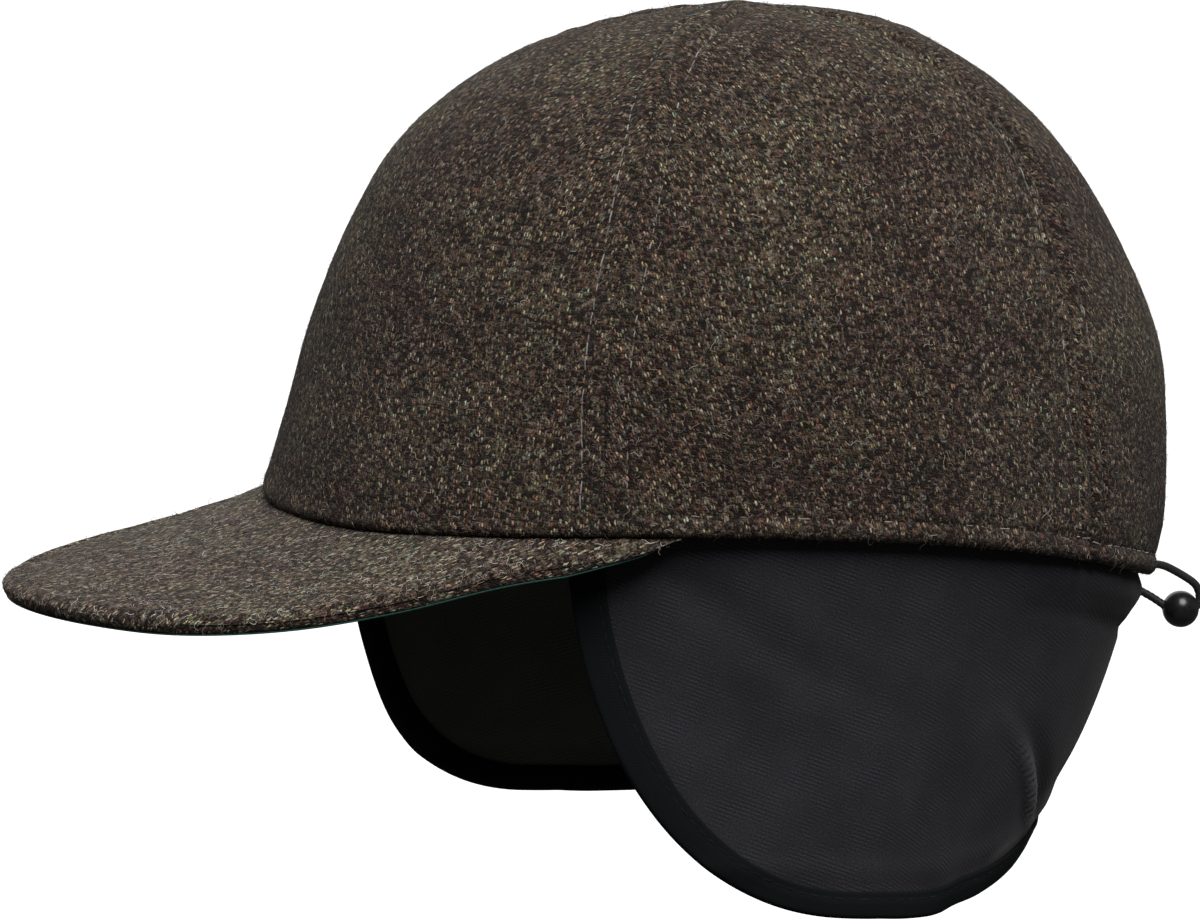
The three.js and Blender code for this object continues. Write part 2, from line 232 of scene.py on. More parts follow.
def sweep(name, path, radius, sides, material, shape=None):
    # closed tube along a path. shape(along, turn) gives the share of the radius.
    path = np.asarray(path)
    along = lengthsAlong(path)
    tangent = unit(np.gradient(path, axis=0))
    normal = np.zeros_like(tangent)
    first = np.cross(tangent[0], [0, 0, 1.0])
    normal[0] = first / np.linalg.norm(first)
    for k in range(1, len(path)):
        held = normal[k - 1] - tangent[k] * (normal[k - 1] @ tangent[k])
        normal[k] = held / np.linalg.norm(held)
    across = np.cross(tangent, normal)
    turn = np.arange(sides) / sides * 2 * math.pi
    share = np.ones((len(path), sides)) if shape is None else shape(along[:, None], turn[None, :])
    ring = normal[:, None, :] * np.cos(turn)[None, :, None]
    ring = ring + across[:, None, :] * np.sin(turn)[None, :, None]
    points = path[:, None, :] + ring * (radius * share)[..., None]
    rows = len(path)
    index = np.arange(rows * sides).reshape(rows, sides)
    around = np.roll(index, -1, axis=1)
    faces = np.stack([index[:-1], around[:-1], around[1:], index[1:]], -1).reshape(-1, 4).tolist()
    ends = [path[0], path[-1]]
    firstEnd, lastEnd = rows * sides, rows * sides + 1
    faces += [[int(around[0, k]), int(index[0, k]), firstEnd] for k in range(sides)]
    faces += [[int(index[-1, k]), int(around[-1, k]), lastEnd] for k in range(sides)]
    piece = newObject(name, np.concatenate([points.reshape(-1, 3), ends]), faces, [material])
    uv = np.stack(np.broadcast_arrays(turn[None, :] * radius, along[:, None]), -1).reshape(-1, 2)
    addUv(piece, np.concatenate([uv, [[0, 0], [0, along[-1]]]]))
    return piece


def put(tree, kind, settings=None, **inputs):
    # one node, with its settings and the values of its inputs
    node = tree.nodes.new(kind)
    for key, value in (settings or {}).items():
        setattr(node, key, value)
    for key, value in inputs.items():
        feed(tree, node.inputs[key.replace("_", " ")], value)
    return node


def feed(tree, socket, value):
    if isinstance(value, bpy.types.NodeSocket):
        tree.links.new(value, socket)
    else:
        socket.default_value = value


def calc(tree, operation, *values, clamp=False):
    node = tree.nodes.new("ShaderNodeMath")
    node.operation = operation
    node.use_clamp = clamp
    for socket, value in zip(node.inputs, values):
        feed(tree, socket, value)
    return node.outputs[0]


def plus(tree, first, second, clamp=False):
    return calc(tree, "ADD", first, second, clamp=clamp)


def minus(tree, first, second, clamp=False):
    return calc(tree, "SUBTRACT", first, second, clamp=clamp)


def times(tree, first, second, clamp=False):
    return calc(tree, "MULTIPLY", first, second, clamp=clamp)


def halfWave(tree, value):
    # a hump from 0 to 1 and a hollow from 1 to 2
    return calc(tree, "SINE", times(tree, value, math.pi))


def vectorCalc(tree, operation, *values):
    node = tree.nodes.new("ShaderNodeVectorMath")
    node.operation = operation
    for socket, value in zip(node.inputs, values):
        feed(tree, socket, value)
    return node.outputs[0]


def scaled(tree, vector, scale):
    return put(tree, "ShaderNodeVectorMath", {"operation": "SCALE"}, Vector=vector, Scale=scale).outputs[0]


def blendColours(tree, share, first, second, how="MIX"):
    node = tree.nodes.new("ShaderNodeMix")
    node.data_type = "RGBA"
    node.blend_type = how
    feed(tree, node.inputs[0], share)
    feed(tree, node.inputs[6], first)
    feed(tree, node.inputs[7], second)
    return node.outputs[2]


def ramp(tree, value, stops, how="LINEAR"):
    node = tree.nodes.new("ShaderNodeValToRGB")
    node.color_ramp.interpolation = how
    marks = node.color_ramp.elements
    while len(marks) < len(stops):
        marks.new(0.5)
    for mark, (place, colour) in zip(marks, stops):
        mark.position = place
        mark.color = (*colour, 1)
    tree.links.new(value, node.inputs[0])
    return node.outputs[0]


def span(tree, value, low, high, newLow=0.0, newHigh=1.0, smooth=False):
    node = tree.nodes.new("ShaderNodeMapRange")
    node.interpolation_type = "SMOOTHSTEP" if smooth else "LINEAR"
    for socket, given in zip(node.inputs, (value, low, high, newLow, newHigh)):
        feed(tree, socket, given)
    return node.outputs[0]


def noiseOf(tree, place, scale, detail=2.0, roughness=0.5, distortion=0.0, output=0):
    node = put(tree, "ShaderNodeTexNoise", Vector=place, Scale=scale, Detail=detail,
               Roughness=roughness, Distortion=distortion)
    return node.outputs[output]


def newGroup(name, inputs, outputs):
    tree = bpy.data.node_groups.new(name, "ShaderNodeTree")
    kinds = {"v": "NodeSocketVector", "f": "NodeSocketFloat"}
    for label, kind, value in inputs:
        socket = tree.interface.new_socket(label, in_out="INPUT", socket_type=kinds[kind])
        if value is not None:
            socket.default_value = value
    for label, kind in outputs:
        tree.interface.new_socket(label, in_out="OUTPUT", socket_type=kinds[kind])
    return tree, tree.nodes.new("NodeGroupInput").outputs, tree.nodes.new("NodeGroupOutput").inputs


def useGroup(tree, group, **inputs):
    node = tree.nodes.new("ShaderNodeGroup")
    node.node_tree = group
    for key, value in inputs.items():
        feed(tree, node.inputs[key.replace("_", " ")], value)
    return node.outputs


def newMaterial(name, **fixed):
    # a material with its Principled shader and the values that are the same all over it
    material = bpy.data.materials.new(name)
    material.use_nodes = True
    tree = material.node_tree
    shader = tree.nodes["Principled BSDF"]
    for key, value in fixed.items():
        shader.inputs[key.replace("_", " ")].default_value = value
    return material, tree, shader


def paint(tree, shader, colour, height, strength, depth):
    # the colour of a surface, and its height as a fine relief
    feed(tree, shader.inputs["Base Color"], colour)
    relief = put(tree, "ShaderNodeBump", Strength=strength, Distance=depth, Height=height)
    feed(tree, shader.inputs["Normal"], relief.outputs[0])


def clothPlace(tree):
    # place on the flat cloth, in millimetres
    uv = put(tree, "ShaderNodeUVMap", {"uv_map": "cloth"}).outputs[0]
    return scaled(tree, uv, 1 / mm)

tweed = {
    "cell": (1.82, 1.77),  # width and height of one pair of yarns, in millimetres
    "peakCell": (1.7, 2.2),
    "contrast": 1.0,
    "peakContrast": 1.25,
    "wander": 0.5,
    "backWander": 0.3,
    "plies": 2.9,  # side by side in one cell
    "lean": 0.2,
    "peakLean": 0.05,
    "crossLean": 0.1,
    "bumpDepth": 0.46 * mm,
    "sheen": 0.03,
    "peakSheen": 0.04,
    "patchScale": 0.10,
    "patchShade": 0.45,
    "zoneScale": 0.03,
    "zoneShade": 0.55,
    "slubScale": 0.9,
    "slubShade": 0.9,
}

# shades of the yarn, from the dark ground to the lightest flecks
yarnShades = [
    (0.00, (0.008, 0.007, 0.006)),
    (0.18, (0.015, 0.010, 0.010)),
    (0.30, (0.032, 0.024, 0.021)),
    (0.40, (0.055, 0.045, 0.034)),
    (0.47, (0.068, 0.037, 0.034)),
    (0.53, (0.072, 0.072, 0.041)),
    (0.59, (0.089, 0.075, 0.066)),
    (0.64, (0.131, 0.060, 0.044)),
    (0.69, (0.124, 0.120, 0.074)),
    (0.75, (0.117, 0.133, 0.129)),
    (0.81, (0.194, 0.133, 0.079)),
    (0.87, (0.208, 0.211, 0.150)),
    (0.94, (0.304, 0.252, 0.171)),
    (1.00, (0.332, 0.329, 0.272)),
]

# the dyes mixed in the wool, as a tint over those shades
dyes = [
    (0.00, (1.00, 0.96, 0.95)),
    (0.34, (1.16, 0.83, 0.79)),
    (0.46, (0.94, 1.02, 0.82)),
    (0.60, (0.83, 0.98, 0.99)),
    (0.72, (1.14, 0.98, 0.78)),
    (0.84, (1.02, 0.88, 0.97)),
    (0.94, (1.02, 1.06, 1.10)),
]


def makeWeave():
    # hopsack: two yarns side by side go over the crossing pair and then under the next
    tree, given, out = newGroup(
        "hopsackWeave",
        [
            ("Place", "v", None),
            ("Cell Width", "f", 1.8),
            ("Cell Height", "f", 1.8),
            ("Wander", "f", 0.4),
            ("Lean", "f", 0.3),
        ],
        [("Float Value", "f"), ("Cross Value", "f"), ("Dye", "f"), ("Float Mask", "f"), ("Height", "f")],
    )
    loose = noiseOf(tree, given["Place"], 0.4, 2.0, output=1)
    fine = noiseOf(tree, given["Place"], 1.7, 1.0, output=1)
    centred = vectorCalc(tree, "SUBTRACT", vectorCalc(tree, "ADD", loose, fine), (1.0, 1.0, 1.0))
    wander = put(tree, "ShaderNodeCombineXYZ", X=given["Wander"], Y=given["Wander"], Z=0.0).outputs[0]
    moved = vectorCalc(tree, "MULTIPLY_ADD", centred, wander, given["Place"])
    parts = put(tree, "ShaderNodeSeparateXYZ", Vector=moved).outputs
    up = calc(tree, "DIVIDE", parts[1], given["Cell Height"])
    across = calc(tree, "DIVIDE", parts[0], given["Cell Width"])
    # 1 where the upright yarns lie on top, 0 where the crossing ones do
    checks = times(tree, halfWave(tree, across), halfWave(tree, up))
    onTop = span(tree, checks, -0.45, 0.45, smooth=True)

    def plies(along, beside, lean, tag):
        # the plies of the yarns: how far the nearest stands up, and a shade of its own
        lane = times(tree, plus(tree, beside, times(tree, along, lean)), tweed["plies"])
        laneKey = put(tree, "ShaderNodeCombineXYZ", X=calc(tree, "FLOOR", lane), Y=11.0, Z=tag).outputs[0]
        shift = put(tree, "ShaderNodeTexWhiteNoise", {"noise_dimensions": "3D"}, Vector=laneKey).outputs[0]
        along = plus(tree, times(tree, along, 1.1), times(tree, shift, 7.3))
        key = put(tree, "ShaderNodeCombineXYZ", X=calc(tree, "FLOOR", lane), Y=calc(tree, "FLOOR", along),
                  Z=tag).outputs[0]
        random = put(tree, "ShaderNodeTexWhiteNoise", {"noise_dimensions": "3D"}, Vector=key)
        dye = put(tree, "ShaderNodeSeparateColor", Color=random.outputs[1]).outputs[1]
        hump = halfWave(tree, calc(tree, "FRACT", lane))
        part = calc(tree, "DIVIDE", calc(tree, "FRACT", along), 0.85, clamp=True)
        rise = calc(tree, "POWER", halfWave(tree, part), 0.7)
        return times(tree, hump, rise), random.outputs[0], dye

    warpHump, warpValue, dye = plies(up, across, given["Lean"], 1.0)
    weftHump, weftValue, _ = plies(across, up, tweed["crossLean"], 5.0)
    shade = plus(tree, warpValue, times(tree, minus(tree, onTop, 1.0), 0.34))
    under = times(tree, weftHump, minus(tree, 1.0, onTop))
    raised = times(tree, warpHump, plus(tree, times(tree, onTop, 0.6), 0.4))
    feed(tree, out["Float Value"], calc(tree, "MAXIMUM", shade, 0.0))
    feed(tree, out["Cross Value"], weftValue)
    feed(tree, out["Dye"], dye)
    feed(tree, out["Float Mask"], span(tree, warpHump, 0.2, 0.8, smooth=True))
    feed(tree, out["Height"], calc(tree, "MAXIMUM", raised, times(tree, under, 0.7)))
    return tree


def makeStrayHair():
    # thin curly lines of stray hair: the contour lines of a noise, cut into short lengths
    tree, given, out = newGroup(
        "strayHair",
        [("Place", "v", None), ("Curl Size", "f", 1.0), ("Thinness", "f", 30.0), ("Amount", "f", 0.5)],
        [("Mask", "f")],
    )
    scale = calc(tree, "DIVIDE", 0.5, given["Curl Size"])
    curl = noiseOf(tree, given["Place"], scale, 1.0, 0.5, 0.6)
    line = calc(tree, "ABSOLUTE", minus(tree, curl, 0.5))
    thin = minus(tree, 1.0, times(tree, line, given["Thinness"]), clamp=True)
    shifted = vectorCalc(tree, "ADD", given["Place"], (31.0, 17.0, 5.0))
    patches = noiseOf(tree, shifted, times(tree, scale, 1.1), 1.0)
    low = minus(tree, 0.72, times(tree, given["Amount"], 0.3))
    gate = span(tree, patches, low, plus(tree, low, 0.06))
    feed(tree, out["Mask"], times(tree, thin, gate))
    return tree


weave = makeWeave()
strayHair = makeStrayHair()


def makeTweed(name, cell, lean, sheen, contrast):
    # the right side of the wool
    material, tree, shader = newMaterial(name, Roughness=0.95, Sheen_Weight=sheen,
                                         Sheen_Roughness=0.45, Specular_IOR_Level=0.12)
    place = clothPlace(tree)
    woven = useGroup(tree, weave, Place=place, Cell_Width=cell[0], Cell_Height=cell[1],
                     Wander=tweed["wander"], Lean=lean)
    # thick places in the yarn, patches a centimetre across, and broad zones
    patches = noiseOf(tree, place, tweed["patchScale"], 3.0, 0.6)
    zones = noiseOf(tree, place, tweed["zoneScale"], 2.0, 0.5)
    slubs = noiseOf(tree, place, tweed["slubScale"], 2.0, 0.6)
    uneven = plus(tree, times(tree, minus(tree, patches, 0.5), tweed["patchShade"]),
                  times(tree, minus(tree, slubs, 0.5), tweed["slubShade"]))
    uneven = plus(tree, uneven, times(tree, minus(tree, zones, 0.5), tweed["zoneShade"]))
    shade = plus(tree, times(tree, woven["Float Value"], contrast), uneven, clamp=True)
    floats = ramp(tree, shade, yarnShades)
    crossShade = plus(tree, times(tree, woven["Cross Value"], 0.46),
                      times(tree, uneven, 0.5), clamp=True)
    colour = blendColours(tree, woven["Float Mask"], ramp(tree, crossShade, yarnShades), floats)
    colour = blendColours(tree, 1.0, colour, ramp(tree, woven["Dye"], dyes, "CONSTANT"), "MULTIPLY")
    # the darker parts of the cloth are plum brown and the lighter ones olive
    drift = ramp(tree, zones, [(0.36, (1.06, 0.95, 0.98)), (0.62, (0.97, 1.02, 0.95))])
    colour = blendColours(tree, 1.0, colour, drift, "MULTIPLY")
    fibre = noiseOf(tree, vectorCalc(tree, "MULTIPLY", place, (1.0, 0.5, 1.0)), 3.4, 3.0, 0.8)
    fibreShade = ramp(tree, fibre, [(0.32, (0.30, 0.28, 0.28)), (0.68, (1.85, 1.85, 1.75))])
    colour = blendColours(tree, 1.0, colour, fibreShade, "MULTIPLY")
    hairA = useGroup(tree, strayHair, Place=place, Curl_Size=1.3, Thinness=26.0, Amount=0.55)["Mask"]
    hairB = useGroup(tree, strayHair, Place=place, Curl_Size=0.7, Thinness=15.0, Amount=0.45)["Mask"]
    hair = calc(tree, "MAXIMUM", hairA, times(tree, hairB, 0.8))
    hairShade = ramp(tree, noiseOf(tree, place, 0.5, 1.0),
                     [(0.35, (0.17, 0.18, 0.17)), (0.5, (0.28, 0.23, 0.16)), (0.65, (0.18, 0.14, 0.12))])
    colour = blendColours(tree, times(tree, hair, 0.65), colour, hairShade)
    height = plus(tree, woven["Height"], times(tree, fibre, 0.8))
    height = plus(tree, height, times(tree, hair, 0.4))
    paint(tree, shader, colour, height, 0.8, tweed["bumpDepth"])
    return material


def makeTweedBack():
    # the wrong side of the wool: the same yarns pressed flat under a dark bonded film
    material, tree, shader = newMaterial("tweedBack", Roughness=0.95, Specular_IOR_Level=0.1)
    place = clothPlace(tree)
    woven = useGroup(tree, weave, Place=place, Cell_Width=tweed["cell"][0], Cell_Height=tweed["cell"][1],
                     Wander=tweed["backWander"], Lean=0.0)
    colour = ramp(tree, woven["Float Value"], [(0.0, (0.011, 0.010, 0.010)), (1.0, (0.030, 0.027, 0.025))])
    paint(tree, shader, colour, woven["Height"], 0.5, 0.15 * mm)
    return material


tweedFace = makeTweed("tweedFace", tweed["cell"], tweed["lean"], tweed["sheen"], tweed["contrast"])
tweedPeak = makeTweed("tweedPeak", tweed["peakCell"], tweed["peakLean"], tweed["peakSheen"],
                      tweed["peakContrast"])
tweedBack = makeTweedBack()


def makeHairMaterial(name, shades):
    # single hairs, each with a shade of its own
    material, tree, shader = newMaterial(name, Roughness=0.8, Specular_IOR_Level=0.3)
    value = put(tree, "ShaderNodeAttribute", {"attribute_name": "shade"}).outputs["Fac"]
    feed(tree, shader.inputs["Base Color"], ramp(tree, value, shades))
    return material


woolHair = makeHairMaterial("woolHair", [
    (0.00, (0.018, 0.014, 0.012)),
    (0.45, (0.040, 0.032, 0.027)),
    (0.62, (0.080, 0.070, 0.052)),
    (0.76, (0.110, 0.065, 0.042)),
    (0.88, (0.180, 0.150, 0.110)),
    (0.95, (0.290, 0.250, 0.190)),
    (1.00, (0.230, 0.245, 0.240)),
])

# lighter than the crown's hairs of the same wool: partly the light fibres of the peak's nap, partly painted
# light where the peak faces up to the softbox
peakHair = makeHairMaterial("peakHair", [
    (0.00, (0.030, 0.025, 0.021)),
    (0.35, (0.070, 0.060, 0.050)),
    (0.55, (0.150, 0.130, 0.105)),
    (0.70, (0.150, 0.100, 0.075)),
    (0.82, (0.270, 0.240, 0.190)),
    (0.92, (0.400, 0.370, 0.310)),
    (1.00, (0.380, 0.400, 0.390)),
])


def makeThread(name, colour, lighter, sheen):
    # spun thread: a fine twist along each stitch
    material, tree, shader = newMaterial(name, Roughness=0.8, Sheen_Weight=sheen, Specular_IOR_Level=0.15)
    place = put(tree, "ShaderNodeTexCoord").outputs["Object"]
    value = put(tree, "ShaderNodeAttribute", {"attribute_name": "shade"}).outputs["Fac"]
    twist = noiseOf(tree, place, 3500.0, 1.0)
    mixed = plus(tree, times(tree, value, 0.6), times(tree, twist, 0.4))
    paint(tree, shader, ramp(tree, mixed, [(0.2, colour), (0.8, lighter)]), twist, 0.6, 0.06 * mm)
    return material


crownThread = makeThread("crownThread", (0.090, 0.085, 0.077), (0.28, 0.262, 0.235), 0.1)
bandThread = makeThread("bandThread", (0.003, 0.003, 0.003), (0.008, 0.008, 0.008), 0.0)
print("cloths and threads made")


def geometryTree(name, inputs):
    tree = bpy.data.node_groups.new(name, "GeometryNodeTree")
    kinds = {"g": "NodeSocketGeometry", "f": "NodeSocketFloat", "i": "NodeSocketInt",
             "m": "NodeSocketMaterial"}
    for label, kind, value in inputs:
        socket = tree.interface.new_socket(label, in_out="INPUT", socket_type=kinds[kind])
        if value is not None:
            socket.default_value = value
    tree.interface.new_socket("Geometry", in_out="OUTPUT", socket_type="NodeSocketGeometry")
    return tree, tree.nodes.new("NodeGroupInput").outputs, tree.nodes.new("NodeGroupOutput").inputs


def vectorAttribute(tree, name):
    return put(tree, "GeometryNodeInputNamedAttribute", {"data_type": "FLOAT_VECTOR"}, Name=name).outputs[0]


def randomValue(tree, low, high, seed):
    node = put(tree, "FunctionNodeRandomValue", {"data_type": "FLOAT"}, Seed=seed)
    feed(tree, node.inputs[2], low)
    feed(tree, node.inputs[3], high)
    return node.outputs[1]


def makeStitchTree():
    # one arched stitch on each point of a seam, turned along the seam and standing on the cloth
    tree, given, out = geometryTree("stitchRow", [
        ("Geometry", "g", None),
        ("Length", "f", 2.6 * mm),
        ("Thread Width", "f", 0.4 * mm),
        ("Arch", "f", 0.35 * mm),
        ("Sink", "f", 0.2 * mm),
        ("Unevenness", "f", 0.1),
        ("Seed", "i", 3),
        ("Thread", "m", None),
    ])
    half = times(tree, given["Length"], 0.5)
    quarter = times(tree, given["Length"], 0.3)
    sunk = times(tree, given["Arch"], -0.9)

    def corner(x, z):
        return put(tree, "ShaderNodeCombineXYZ", X=x, Y=0.0, Z=z).outputs[0]

    back = times(tree, half, -1.0)
    backQuarter = times(tree, quarter, -1.0)
    arc = put(tree, "GeometryNodeCurvePrimitiveBezierSegment", {"mode": "POSITION"}, Resolution=6,
              Start=corner(back, sunk), Start_Handle=corner(backQuarter, given["Arch"]),
              End_Handle=corner(quarter, given["Arch"]), End=corner(half, sunk))
    radius = times(tree, given["Thread Width"], 0.5)
    ring = put(tree, "GeometryNodeCurvePrimitiveCircle", Resolution=6, Radius=radius)
    body = put(tree, "GeometryNodeCurveToMesh", Curve=arc.outputs[0], Profile_Curve=ring.outputs[0],
               Fill_Caps=True)
    smooth = put(tree, "GeometryNodeSetShadeSmooth", Geometry=body.outputs[0])
    axes = put(tree, "FunctionNodeAxesToRotation", {"primary_axis": "Z", "secondary_axis": "X"},
               Primary_Axis=vectorAttribute(tree, "standing"),
               Secondary_Axis=vectorAttribute(tree, "heading"))
    tilt = randomValue(tree, times(tree, given["Unevenness"], -1.0), given["Unevenness"],
                       given["Seed"])
    spin = put(tree, "FunctionNodeEulerToRotation",
               Euler=put(tree, "ShaderNodeCombineXYZ", X=0.0, Y=0.0, Z=tilt).outputs[0])
    turned = put(tree, "FunctionNodeRotateRotation", {"rotation_space": "LOCAL"},
                 Rotation=axes.outputs[0], Rotate_By=spin.outputs[0])
    size = randomValue(tree, 0.92, 1.06, plus(tree, given["Seed"], 1))
    depth = randomValue(tree, -1.0, 0.1, plus(tree, given["Seed"], 4))
    down = scaled(tree, vectorAttribute(tree, "standing"), times(tree, given["Sink"], depth))
    seats = put(tree, "GeometryNodeSetPosition", Geometry=given["Geometry"], Offset=down)
    placed = put(tree, "GeometryNodeInstanceOnPoints", Points=seats.outputs[0],
                 Instance=smooth.outputs[0], Rotation=turned.outputs[0], Scale=size)
    shade = put(tree, "GeometryNodeStoreNamedAttribute", {"data_type": "FLOAT", "domain": "INSTANCE"},
                Geometry=placed.outputs[0], Name="shade")
    feed(tree, shade.inputs["Value"], randomValue(tree, 0.0, 1.0, plus(tree, given["Seed"], 2)))
    real = put(tree, "GeometryNodeRealizeInstances", Geometry=shade.outputs[0])
    painted = put(tree, "GeometryNodeSetMaterial", Geometry=real.outputs[0], Material=given["Thread"])
    feed(tree, out["Geometry"], painted.outputs[0])
    return tree


def makeHairTree():
    # short curly hairs scattered over the cloth where its nap is raised
    tree, given, out = geometryTree("woolNap", [
        ("Geometry", "g", None),
        ("Hairs Per Square Metre", "f", 400000.0),
        ("Hair Length", "f", 1.6 * mm),
        ("Hair Width", "f", 0.09 * mm),
        ("Stand", "f", 0.25),
        ("Roll", "f", 0.25),
        ("Seed", "i", 11),
        ("Wool", "m", None),
    ])
    nap = put(tree, "GeometryNodeInputNamedAttribute", {"data_type": "FLOAT"}, Name="nap").outputs[0]
    density = times(tree, nap, given["Hairs Per Square Metre"])
    spread = put(tree, "GeometryNodeDistributePointsOnFaces", Mesh=given["Geometry"], Density=density,
                 Seed=given["Seed"])
    shapes = put(tree, "GeometryNodeJoinGeometry")
    width = times(tree, given["Hair Width"], 0.5)
    leftEdge = put(tree, "ShaderNodeCombineXYZ", X=times(tree, width, -1.0), Y=0.0, Z=0.0)
    rightEdge = put(tree, "ShaderNodeCombineXYZ", X=width, Y=0.0, Z=0.0)
    edge = put(tree, "GeometryNodeCurvePrimitiveLine", Start=leftEdge.outputs[0], End=rightEdge.outputs[0])
    # three hairs: nearly straight, hooked, and S-shaped, as shares of the hair's length
    hairs = [
        ((0.0, 0.0, -0.02), (0.35, 0.15, 0.10), (0.65, -0.10, 0.10), (1.0, 0.10, 0.02), 3),
        ((0.0, 0.0, -0.02), (0.70, 0.05, 0.14), (0.80, 0.50, 0.14), (0.30, 0.60, 0.04), 5),
        ((0.0, 0.0, -0.02), (0.40, 0.50, 0.12), (0.60, -0.50, 0.12), (1.1, 0.10, 0.05), 5),
    ]
    for start, first, second, end, steps in hairs:
        ends = []
        for point in (start, first, second, end):
            ends.append(scaled(tree, point, given["Hair Length"]))
        arc = put(tree, "GeometryNodeCurvePrimitiveBezierSegment", {"mode": "POSITION"}, Resolution=steps,
                  Start=ends[0], Start_Handle=ends[1], End_Handle=ends[2], End=ends[3])
        strip = put(tree, "GeometryNodeCurveToMesh", Curve=arc.outputs[0], Profile_Curve=edge.outputs[0])
        one = put(tree, "GeometryNodeGeometryToInstance", Geometry=strip.outputs[0])
        tree.links.new(one.outputs[0], shapes.inputs[0])
    seeds = [plus(tree, given["Seed"], step) for step in (1, 2, 3)]
    spinBy = put(tree, "ShaderNodeCombineXYZ",
                 X=randomValue(tree, times(tree, given["Roll"], -1.0), given["Roll"], seeds[0]),
                 Y=randomValue(tree, times(tree, given["Stand"], -1.0), 0.1, seeds[1]),
                 Z=randomValue(tree, -math.pi, math.pi, seeds[2]))
    spin = put(tree, "FunctionNodeEulerToRotation", Euler=spinBy.outputs[0])
    turned = put(tree, "FunctionNodeRotateRotation", {"rotation_space": "LOCAL"},
                 Rotation=spread.outputs["Rotation"], Rotate_By=spin.outputs[0])
    size = randomValue(tree, 0.45, 1.5, plus(tree, given["Seed"], 4))
    placed = put(tree, "GeometryNodeInstanceOnPoints", Points=spread.outputs[0],
                 Instance=shapes.outputs[0], Rotation=turned.outputs[0], Scale=size)
    placed.inputs["Pick Instance"].default_value = True
    shade = put(tree, "GeometryNodeStoreNamedAttribute", {"data_type": "FLOAT", "domain": "INSTANCE"},
                Geometry=placed.outputs[0], Name="shade")
    feed(tree, shade.inputs["Value"], randomValue(tree, 0.0, 1.0, plus(tree, given["Seed"], 5)))
    real = put(tree, "GeometryNodeRealizeInstances", Geometry=shade.outputs[0])
    painted = put(tree, "GeometryNodeSetMaterial", Geometry=real.outputs[0], Material=given["Wool"])
    feed(tree, out["Geometry"], painted.outputs[0])
    return tree


stitchTree = makeStitchTree()
hairTree = makeHairTree()


def grow(name, source, tree, values):
    # runs a tree on a mesh and keeps the result as a plain mesh
    host = bpy.data.objects.new(name + "Host", source)
    bpy.context.collection.objects.link(host)
    modifier = host.modifiers.new("grow", "NODES")
    modifier.node_group = tree
    sockets = {s.name: s.identifier for s in tree.interface.items_tree if s.in_out == "INPUT"}
    for label, value in values.items():
        modifier[sockets[label]] = value
    host.update_tag()
    graph = bpy.context.evaluated_depsgraph_get()
    mesh = bpy.data.meshes.new_from_object(host.evaluated_get(graph))
    mesh.name = name
    bpy.data.objects.remove(host)
    made = bpy.data.objects.new(name, mesh)
    bpy.context.collection.objects.link(made)
    return made


def growNap(piece, cloth, seed, wool):
    # the raised hairs of a piece, with the hair values of its dictionary
    nap = grow(piece.name + "Nap", piece.data, hairTree, {
        "Hairs Per Square Metre": cloth["hairs"],
        "Hair Length": cloth["hairLength"],
        "Hair Width": cloth["hairWidth"],
        "Stand": cloth["hairStand"],
        "Roll": cloth["hairRoll"],
        "Seed": seed,
        "Wool": wool,
    })
    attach(nap, "root")
    print(piece.name, len(piece.data.polygons), "faces,", len(nap.data.polygons), "in its nap")


def stitchSeats(path, standing, pitch):
    # evenly spaced places along a seam, each with its heading and the cloth's normal
    along = lengthsAlong(path)
    count = max(int(along[-1] / pitch), 1)
    places = (np.arange(count) + 0.5) * along[-1] / count
    seat = np.stack([np.interp(places, along, path[:, k]) for k in range(3)], 1)
    up = unit(np.stack([np.interp(places, along, standing[:, k]) for k in range(3)], 1))
    ahead = np.stack([np.interp(places + 0.2 * mm, along, path[:, k]) for k in range(3)], 1)
    behind = np.stack([np.interp(places - 0.2 * mm, along, path[:, k]) for k in range(3)], 1)
    heading = unit(ahead - behind)
    return seat, heading, up


def sewAt(name, seats, headings, ups, stitch, material, slot, seed):
    # one stitch at each seat
    mesh = bpy.data.meshes.new(name + "Seats")
    mesh.from_pydata(np.asarray(seats).tolist(), [], [])
    for label, values in (("heading", headings), ("standing", ups)):
        layer = mesh.attributes.new(label, "FLOAT_VECTOR", "POINT")
        layer.data.foreach_set("vector", np.asarray(values, dtype=np.float32).ravel())
    piece = grow(name, mesh, stitchTree, {
        "Length": stitch["length"],
        "Thread Width": stitch["thread"],
        "Arch": stitch["arch"],
        "Sink": stitch["sink"],
        "Unevenness": stitch["unevenness"],
        "Seed": seed,
        "Thread": material,
    })
    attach(piece, "root")
    return piece


def sew(name, rows, stitch, material, slot, seed):
    # rows of stitches as one piece. Each row is a path and the cloth's normals along it.
    seats = [stitchSeats(path, standing, stitch["pitch"]) for path, standing in rows]
    return sewAt(name, *(np.concatenate(part) for part in zip(*seats)), stitch, material, slot, seed)

cord = {
    "diameter": 2.0 * mm,
    "beadDiameter": 8.8 * mm,
    "beadPlace": (0.8 * mm, 125.5 * mm, -30.7 * mm),
    "strandPitch": 2.6 * mm,
    "strands": 8,
}

# route of the cord in millimetres, out of the band at the back and into it again
cordRoute = [
    (7, 99, -21.2),
    (7, 102.4, -21),
    (6.8, 106, -20.1),
    (6.3, 110, -18.9),
    (5.6, 114, -18.4),
    (4.8, 118, -19.1),
    (3.9, 121.9, -20.8),
    (3.2, 127.7, -24.3),
    (3, 128.9, -25.8),
    (2.8, 129.5, -27.6),
    (2.5, 129.3, -29.5),
    (2, 128.2, -31),
    (1.4, 126.7, -31.9),
    (0.7, 125, -31.9),
    (0.1, 123.8, -31.5),
    (-1.2, 121.3, -29.3),
    (-2.6, 118.5, -27.3),
    (-4, 115.4, -25.5),
    (-5.4, 111.8, -23.6),
    (-6.5, 107.6, -22.6),
    (-7, 103.6, -21.8),
    (-7, 99, -21.2),
]


